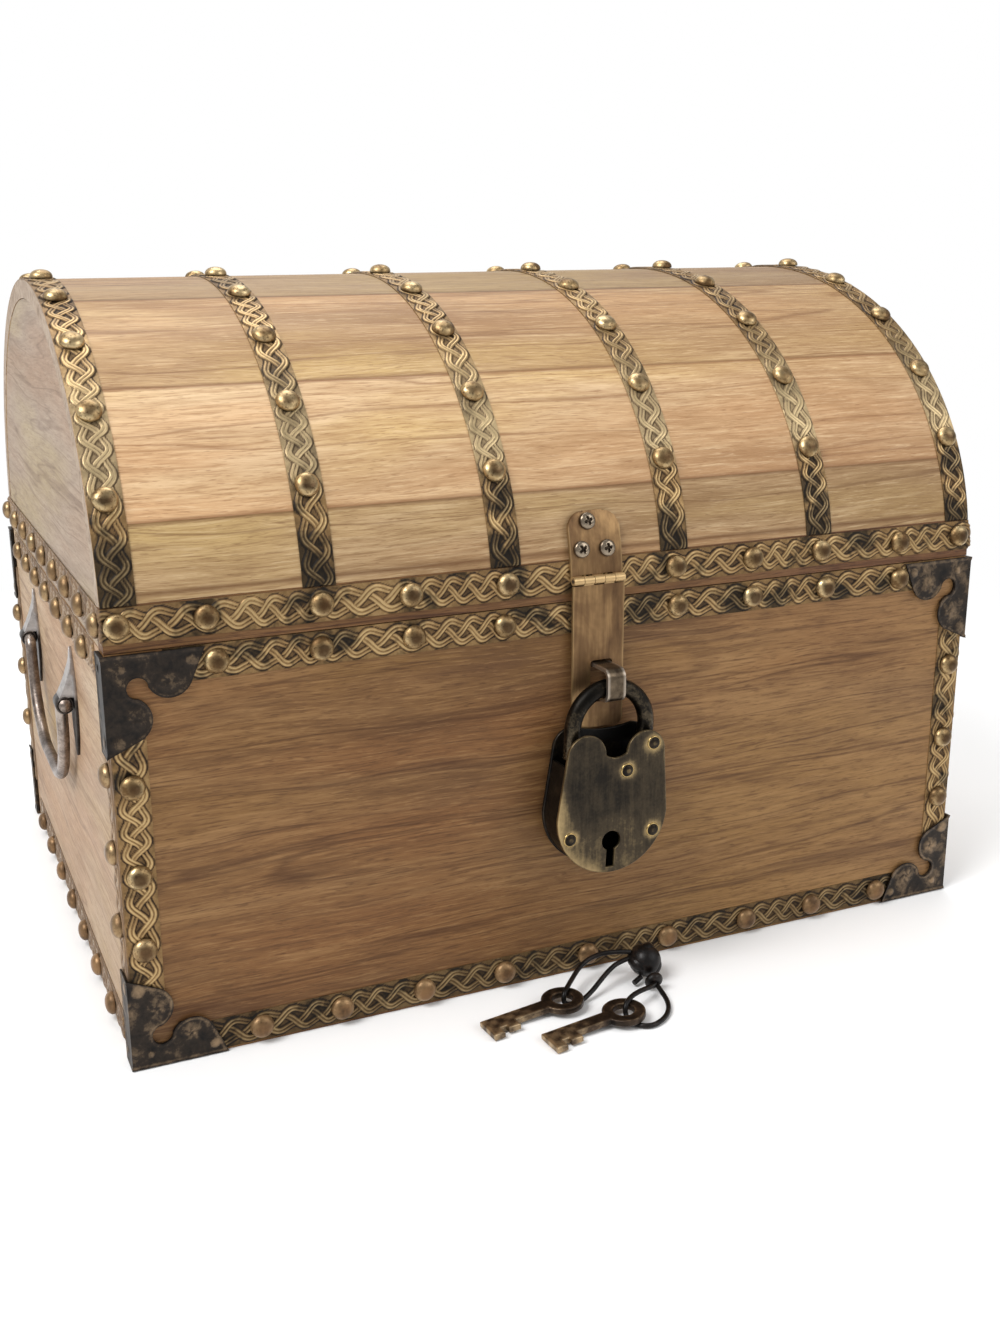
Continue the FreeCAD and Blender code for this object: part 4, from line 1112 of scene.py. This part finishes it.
def brackets(name, upper, node):
    outer_x = half_width + band_seat + band_thickness + plate_thickness
    outer_y = half_depth + band_seat + band_thickness + plate_thickness
    meshes = []
    for side in (-1, 1):
        for end in (-1, 1):
            def shape(places, out, edge):
                along, down = places[:, 0], places[:, 1]
                relief, _ = bracket_relief(np.abs(along), down, edge)
                pressed = np.where(out > 0.6, bracket_emboss * (1 - relief), 0)
                pressed *= np.clip(edge / (0.6 * mm), 0, 1)
                near = np.clip((strip_start - np.maximum(np.abs(along), down)) / (0.8 * mm), 0, 1)
                inset = (plate_thickness + band_thickness * near) * (1 - out) + pressed
                x = np.where(along >= 0, np.maximum(along, inset), inset)
                y = np.where(along >= 0, inset, np.maximum(-along, inset))
                z = bracket_edge + down
                if upper:
                    z = case_height - z
                return stack(side * (outer_x - x), end * (outer_y - y), z)

            def rub(places, edge):
                along, down = places[:, 0], places[:, 1]
                _, rubbed = bracket_relief(np.abs(along), down, edge)
                strength = (0.6 if side > 0 else 0.5) + (0.0 if upper else 0.4)
                waves = 0.5 + 0.5 * np.sin(along * 310 + 2 * side) * np.sin(down * 270 + 3)
                ground = 0.42 if side > 0 else 0.12 if upper else 0.26
                return np.clip(strength * rubbed + ground * waves, 0, 1)

            mesh = plate_piece(name, [bracket_outline()], plate_thickness, shape, rub,
                               rounding=0.3 * mm, cell=0.8 * mm, folds=(0.0,))
            if (side * end > 0) != upper:
                mesh.flip_normals()
            meshes.append(mesh)
    add_piece(name, joined(name, meshes), iron, "case", "black_iron", node)


brackets("top_corner_plates", True, "top_brackets")
brackets("bottom_corner_plates", False, "bottom_brackets")


# Padlock.
def lock_loop(notched):
    """Outline of the padlock: a belly below two lobes, with a notch for the shackle in front
    and a shallow dip behind."""
    inner = lobe_centre - lobe_radius
    outer = lobe_centre + lobe_radius
    crown = lobe_radius - lobe_drop
    slant = lobe_radius * math.sin(math.radians(45))
    belly = (
        (lock_half_width, -belly_drop),
        ((0, -belly_drop - belly_depth), (-lock_half_width, -belly_drop), 40), (-outer, -lobe_drop),
    )
    if notched:
        return outline(
            *belly, ((-lobe_centre, crown), (-inner, -lobe_drop), 20),
            ((0, -notch_drop), (inner, -lobe_drop), 10),
            ((lobe_centre, crown), (outer, -lobe_drop), 20))
    return outline(
        *belly, ((-lobe_centre - slant, slant - lobe_drop), (-lobe_centre, crown), 12),
        ((0, crown - back_dip), (lobe_centre, crown), 16),
        ((lobe_centre + slant, slant - lobe_drop), (outer, -lobe_drop), 12))


def keyhole_loop():
    half_slit = keyhole_slit / 2
    foot = -keyhole_drop - keyhole_length
    slit_angle = math.asin(half_slit / keyhole_radius)
    first = slit_angle - math.pi / 2
    loop = []
    for step in range(25):
        angle = first + (2 * math.pi - 2 * slit_angle) * step / 24
        loop.append((keyhole_radius * math.cos(angle), keyhole_radius * math.sin(angle) - keyhole_drop))
    return loop + [(-half_slit, foot), (half_slit, foot)]


lean = Matrix.Translation(lock_bar) @ Matrix.Rotation(lock_lean, 4, "Y") @ Matrix.Translation(-lock_bar)


def lock_plates():
    def rub(places, edge):
        # The bright band along the plate's rim is a painted highlight.
        worn = 0.4 * np.exp(-edge / (0.6 * mm))
        for across, drop in rivet_places:
            apart = np.hypot(places[:, 0] - across, places[:, 1] + drop)
            worn = np.maximum(worn, 0.75 * np.exp(-np.clip(apart - rivet_radius, 0, 1) / (1.6 * mm)))
        low_left = np.clip((-places[:, 0] - 0.6 * places[:, 1] - 52 * mm) / (10 * mm), 0, 0.75)
        low_left *= np.exp(-edge / (7 * mm))
        keyhole = np.clip(1 - np.hypot(places[:, 0], places[:, 1] + 80 * mm) / (22 * mm), 0, 0.22)
        return np.clip(np.maximum(np.maximum(worn, low_left), keyhole), 0, 1)

    for name, node, front, material in (
        ("padlock_front", "lock_front_plate", True, lock_metal),
        ("padlock_back", "lock_back_plate", False, lock_dark),
    ):
        def shape(places, out, edge):
            reach = lock_half_depth - lock_plate * (1 - out)
            y = lock_centre.y + (-reach if front else reach)
            x, z = lock_centre.x + places[:, 0], lock_centre.z + places[:, 1]
            return moved(stack(x, y, z), lean)

        loops = [lock_loop(True), keyhole_loop()] if front else [lock_loop(False)]
        mesh = plate_piece(name, loops, lock_plate, shape, rub, rounding=0.5 * mm, cell=1.0 * mm)
        if not front:
            mesh.flip_normals()
        add_piece(name, mesh, material, "padlock", "lock_bronze", node)


def lock_rivets():
    """Low domes in a raised rim."""
    groove = 0.4 * mm
    profile = [
        (rivet_radius, 0.0, 1.0), (rivet_radius, 0.25 * mm, 1.0),
        (rivet_radius - 0.35 * mm, 0.5 * mm, 1.0), (rivet_radius - 0.7 * mm, groove, 0.1),
    ]
    for step in range(1, 7):
        angle = math.pi / 2 * step / 6.4
        reach = (rivet_radius - 0.8 * mm) * math.cos(angle)
        height = groove + (rivet_height - groove) * math.sin(angle)
        profile.append((reach, height, 0.0 if step < 5 else 0.25))
    spots = []
    for across, drop in rivet_places:
        for side in (-1, 1):
            place = lock_centre + Vector((across, side * lock_half_depth, -drop))
            spots.append((lean @ place, Vector((0, side, 0))))
    mesh = turned_heads("padlock_rivets", profile, spots, "rub")
    shade_smooth(mesh, 55)
    add_piece("padlock_rivets", mesh, rivet_metal, "padlock", "lock_bronze", "lock_rivets")


lock_plates()
lock_rivets()


def cross_screws():
    """The three screws of the hasp, each with a cross recess."""
    profile = [(screw_radius, 0, 0.1)]
    for step in range(23):
        share = step / 22
        crown = screw_height * (0.3 + 0.7 * math.sqrt(1 - (1 - share) ** 2))
        worn = 0.95 * (0.35 + 0.65 * min(1.0, 3 * share))
        profile.append((screw_radius * (1 - share), crown, worn))
    meshes = []
    for across, up, angle in zip(screw_across_shares, screw_height_shares, screw_turns):
        share = share_at(hasp_barrel_z + hasp_leaf_height * up, leaf_inner)
        y, z = dome_place(leaf_outer, share)
        place = Vector((hasp_centre + hasp_width * across, y, z))

        def pressed(x, y, height, worn):
            along = abs(x * math.cos(angle) + y * math.sin(angle))
            aside = abs(y * math.cos(angle) - x * math.sin(angle))
            near, far = min(along, aside), max(along, aside)
            wide = np.clip((slot_half_width - near) / (0.3 * mm), 0, 1)
            long = np.clip((slot_half_length - far) / (0.6 * mm), 0, 1)
            cut = float(wide * long)
            return height - slot_depth * cut, worn * (1 - cut)

        spots = [(place, dome_normal(share))]
        meshes.append(turned_heads("cross_screw", profile, spots, "rub", sides=64, pressed=pressed))
    mesh = joined("cross_screws", meshes)
    add_piece("cross_screws", mesh, screw_metal, "lid", "steel", "hasp_screws")


cross_screws()


# Round bars and cords.
def tube_mesh(name, line, radius, closed=False, sides=20):
    """A tube along a line of points."""
    count = len(line)
    points = []
    side_way = None
    for index, place in enumerate(line):
        before = line[index - 1] if index or closed else place
        after = line[(index + 1) % count] if index < count - 1 or closed else place
        ahead = (after - before).normalized()
        side_way = side_way or ahead.orthogonal()
        side_way = (side_way - ahead * side_way.dot(ahead)).normalized()
        other = ahead.cross(side_way)
        points += [place + side_way * x + other * y for x, y in circle_points(0, 0, radius, sides)]
    mesh = make_mesh(name, points, ring_faces(count, sides, closed=closed))
    mesh.shade_smooth()
    return mesh


# Drop handles. The upper half of each plate swells out over its barrel.
def handle_outline():
    tip, toe = (handle_half_length, 0), (-handle_half_length, 0)
    return outline(tip, ((0, handle_half_width), toe, 24), ((0, -handle_half_width), tip, 24))[:-1]


def barrel_mesh(side, middle):
    edge = 0.4 * mm
    profile = (
        (barrel_bore, edge), (barrel_bore + edge, 0), (barrel_radius - edge, 0), (barrel_radius, edge),
        (barrel_radius, barrel_length - edge), (barrel_radius - edge, barrel_length),
        (barrel_bore + edge, barrel_length), (barrel_bore, barrel_length - edge),
    )
    count = 32
    points = []
    for across, up in circle_points(0, 0, 1, count):
        for radius, along in profile:
            x, z = side * handle_x + radius * across, handle_height + radius * up
            points.append((x, middle - barrel_length / 2 + along, z))
    faces = ring_faces(count, len(profile), closed=True)
    return make_mesh("handle_barrel", points, faces, "rub", [0.1] * len(points))


def handle_plate_mesh(side, middle):
    def boss_share(places):
        slope = np.clip((boss_high - places[:, 0]) / (boss_high - boss_low), 0, 1)
        slope = np.where(places[:, 0] < boss_low - 0.05 * mm, 0, slope)
        return slope * np.clip((barrel_length / 2 - np.abs(places[:, 1])) / (0.5 * mm), 0, 1)

    def shape(places, out, edge):
        reach = half_width + out * handle_thickness + boss_out * boss_share(places) ** 1.5 * (out > 0.6)
        return stack(side * reach, middle + places[:, 1], handle_height + places[:, 0])

    def rub(places, edge):
        # The upper half of each plate is painted paler than the lower half.
        upper = np.clip(places[:, 0] / (6 * mm), 0, 1)
        return 0.7 * upper + 0.1 * (1 - upper)

    folds = (boss_low - 0.15 * mm, boss_low)
    mesh = plate_piece("handle_plate", [handle_outline()], handle_thickness, shape, rub,
                       rounding=0.3 * mm, cell=0.8 * mm, folds=folds)
    if side > 0:
        mesh.flip_normals()
    return mesh


def bail_line(side):
    inner = bail_leg - bail_corner
    outer = bail_leg + bail_bend
    low = bail_corner - bail_drop
    slant = math.sin(math.radians(45))
    half = outline(
        (bail_pin_end, 0), (outer, 0),
        ((outer - bail_bend * slant, bail_bend * (slant - 1)), (bail_leg, -bail_bend), 8),
        (bail_leg, low),
        ((inner + bail_corner * slant, low - bail_corner * slant), (inner, -bail_drop), 24))
    whole = half + [(-across, up) for across, up in reversed(half)]
    return [Vector((side * handle_x, across, handle_height + up)) for across, up in whole]


def handles():
    for side, word in ((-1, "left"), (1, "right")):
        meshes = []
        for end in (-1, 1):
            middle = end * handle_spacing / 2
            meshes += [handle_plate_mesh(side, middle), barrel_mesh(side, middle)]
        plates = joined("%s_handle_seats" % word, meshes)
        add_piece(plates.name, plates, handle_metal, "case", "steel", "handle_plates_%s" % word)
        bail = tube_mesh("%s_bail_rod" % word, bail_line(side), bail_radius)
        add_piece(bail.name, bail, bail_metal, "%s_handle" % word, "steel", "%s_bail" % word)


handles()


# Keys.
def key_outline():
    half_angle = math.asin(shank_half / bow_radius)
    start = (bow_radius * math.cos(half_angle), shank_half)
    bit_start = key_length - bit_length
    notch_end = key_length - bit_tip
    notch_start = notch_end - bit_notch
    return outline(
        start, (bit_start, shank_half), (bit_start, shank_half + bit_tooth_depth),
        (notch_start, shank_half + bit_tooth_depth), (notch_start, shank_half + bit_notch_depth),
        (notch_end, shank_half + bit_notch_depth), (notch_end, shank_half + bit_depth),
        (key_length, shank_half + bit_depth), (key_length, -shank_half), (start[0], -shank_half),
        ((-bow_radius, 0), start, 44))[:-1]


def add_key(name, node, place):
    to_tip = Matrix.Translation((key_length, 0, 0))
    matrix = (Matrix.Translation((*place, key_lift)) @ Matrix.Rotation(key_turn, 4, "Z")
              @ to_tip @ Matrix.Rotation(key_tilt, 4, "Y") @ to_tip.inverted())

    def shape(places, out, edge):
        return moved(stack(places[:, 0], places[:, 1], key_thickness * out), matrix)

    def rub(places, edge):
        tip = np.clip((places[:, 0] - 9 * mm) / (20 * mm), 0, 1)
        mottle = 0.5 + 0.5 * np.sin(places[:, 0] * 700) * np.sin(places[:, 1] * 900 + 1)
        rim = 0.4 * np.exp(-np.abs(edge - 0.6 * mm) / (0.4 * mm))
        return np.clip(rim + tip * (0.15 + 0.5 * mottle), 0, 1)

    loops = [key_outline(), circle_points(0, 0, bow_hole)]
    mesh = plate_piece(name, loops, key_thickness, shape, rub, rounding=0.7 * mm, cell=1.2 * mm)
    return add_piece(name, mesh, key_metal, "keys", "key_brass", node)


left_key = add_key("left_key_plate", "key_left", left_key_place)
right_key = add_key("right_key_plate", "key_right", right_key_place)


# Knot of the cord: a trefoil pulled tight round its own ends, a wrap and a stub.
def cord_knot():
    tilt = Matrix.Rotation(math.radians(62), 3, "X") @ Matrix.Rotation(math.radians(25), 3, "Z")
    line = []
    for step in range(120):
        turn = 2 * math.pi * step / 120
        line.append(knot_place + tilt @ Vector((
            knot_swing * (math.sin(turn) + 2 * math.sin(2 * turn)),
            knot_swing * (math.cos(turn) - 2 * math.cos(2 * turn)),
            -knot_rise * math.sin(3 * turn))))
    turns = tube_mesh("knot_turns", line, knot_tube, closed=True)
    lowest = min(vertex.co.z for vertex in turns.vertices)
    turns.transform(Matrix.Translation((0, 0, max(0.0, 0.1 * mm - lowest))))
    ball = bmesh.new()
    bmesh.ops.create_uvsphere(ball, u_segments=24, v_segments=16, radius=knot_core)
    bmesh.ops.transform(ball, matrix=Matrix.Translation(knot_place), verts=ball.verts)
    core = bpy.data.meshes.new("knot_core")
    ball.to_mesh(core)
    ball.free()
    exit_way = (wrap_exit - wrap_place).normalized()
    across = exit_way.orthogonal().normalized()
    other = exit_way.cross(across)
    ring = [wrap_place + across * x + other * y for x, y in circle_points(0, 0, wrap_radius, 40)]
    stub = [stub_start.lerp(stub_tip, step / 8) for step in range(9)]
    mesh = joined("cord_knot_turns", [
        turns, core, tube_mesh("knot_wrap", ring, wrap_tube, closed=True),
        tube_mesh("knot_stub", stub, stub_radius),
    ])
    return add_piece("cord_knot_turns", mesh, cord_black, "keys", "cord_black", "cord_knot")


knot = cord_knot()


# Cords of the keys.
def add_cord(name, route, node):
    curve = bpy.data.curves.new(name, "CURVE")
    curve.dimensions = "3D"
    spline = curve.splines.new("NURBS")
    spline.points.add(len(route) - 1)
    for point, place in zip(spline.points, route):
        point.co = (*place, 1)
    spline.order_u = 3
    spline.use_endpoint_u = True
    spline.resolution_u = 12
    curve.bevel_depth = cord_diameter / 2
    curve.bevel_resolution = 5
    curve.use_fill_caps = True
    piece = add_piece(name, curve, cord_black, "keys", "cord_black", node)


add_cord("left_cord", left_loop, "cord_loop_left")
add_cord("right_cord", right_loop, "cord_loop_right")


# Floor, backdrop and lights.
def stage_white():
    """A pale floor that shows as plain white further than the object's shadow reaches."""
    white = Shader("floor_white")
    colour = white.noise(2, 2).ramp((0.3, 0.90), (0.7, 0.93))
    material = white.finish(colour, 0.9)
    rays = white.node("LightPath")
    seen = Field(white, rays.outputs["Is Camera Ray"])
    for ray in ("Is Glossy Ray", "Is Transmission Ray"):
        seen = seen.maths("MAXIMUM", Field(white, rays.outputs[ray]))
    away = white.node("VectorMath", operation="LENGTH")
    white.join(white.coordinates.outputs["Object"], away.inputs[0])
    far = white.node("MapRange", interpolation_type="SMOOTHSTEP")
    white.join(away.outputs["Value"], far.inputs["Value"])
    far.inputs["From Min"].default_value = white_from
    far.inputs["From Max"].default_value = white_to
    blend = white.node("MixShader")
    white.feed(seen * Field(white, far.outputs["Result"]), blend.inputs[0])
    white.join(white.surface.outputs[0], blend.inputs[1])
    white.join(white.node("Emission").outputs[0], blend.inputs[2])
    white.join(blend.outputs[0], white.tree.nodes["Material Output"].inputs["Surface"])
    return material


def add_stage():
    profile = [(-stage_reach, 0.0), (stage_reach - stage_bend, 0.0)]
    for step in range(1, 9):
        angle = math.pi / 2 * step / 8
        back = stage_reach - stage_bend + stage_bend * math.sin(angle)
        profile.append((back, stage_bend - stage_bend * math.cos(angle)))
    profile.append((stage_reach, stage_rise))
    points = [(x, y, z - 0.2 * mm) for y, z in profile for x in (-stage_half, stage_half)]
    faces = [(2 * i, 2 * i + 1, 2 * i + 3, 2 * i + 2) for i in range(len(profile) - 1)]
    mesh = make_mesh("backdrop", points, faces)
    mesh.materials.append(stage_white())
    mesh.shade_smooth()
    placed("backdrop", mesh)


add_stage()


def add_lamp(name, place, target, size, power):
    data = bpy.data.lights.new(name, "AREA")
    data.shape = "DISK"
    data.size = size
    data.energy = power
    lamp = placed(name, data)
    lamp.location = place
    lamp.rotation_euler = (Vector(target) - Vector(place)).to_track_quat("-Z", "Y").to_euler()


add_lamp("key_lamp", (-1.5, -0.6, 1.9), (0, 0, 0.1), size=1.3, power=48)
add_lamp("fill_lamp", (1.4, -1.6, 1.3), (0, 0, 0.15), size=1.6, power=16)
add_lamp("top_lamp", (0.2, 0.8, 2.3), (0, 0, 0.2), size=1.8, power=30)

world = bpy.data.worlds.new("world")
bpy.context.scene.world = world
world.use_nodes = True
sky = world.node_tree.nodes["Background"]
sky.inputs["Color"].default_value = (1, 1, 1, 1)
sky.inputs["Strength"].default_value = 0.45
bpy.context.scene.view_settings.view_transform = "Standard"
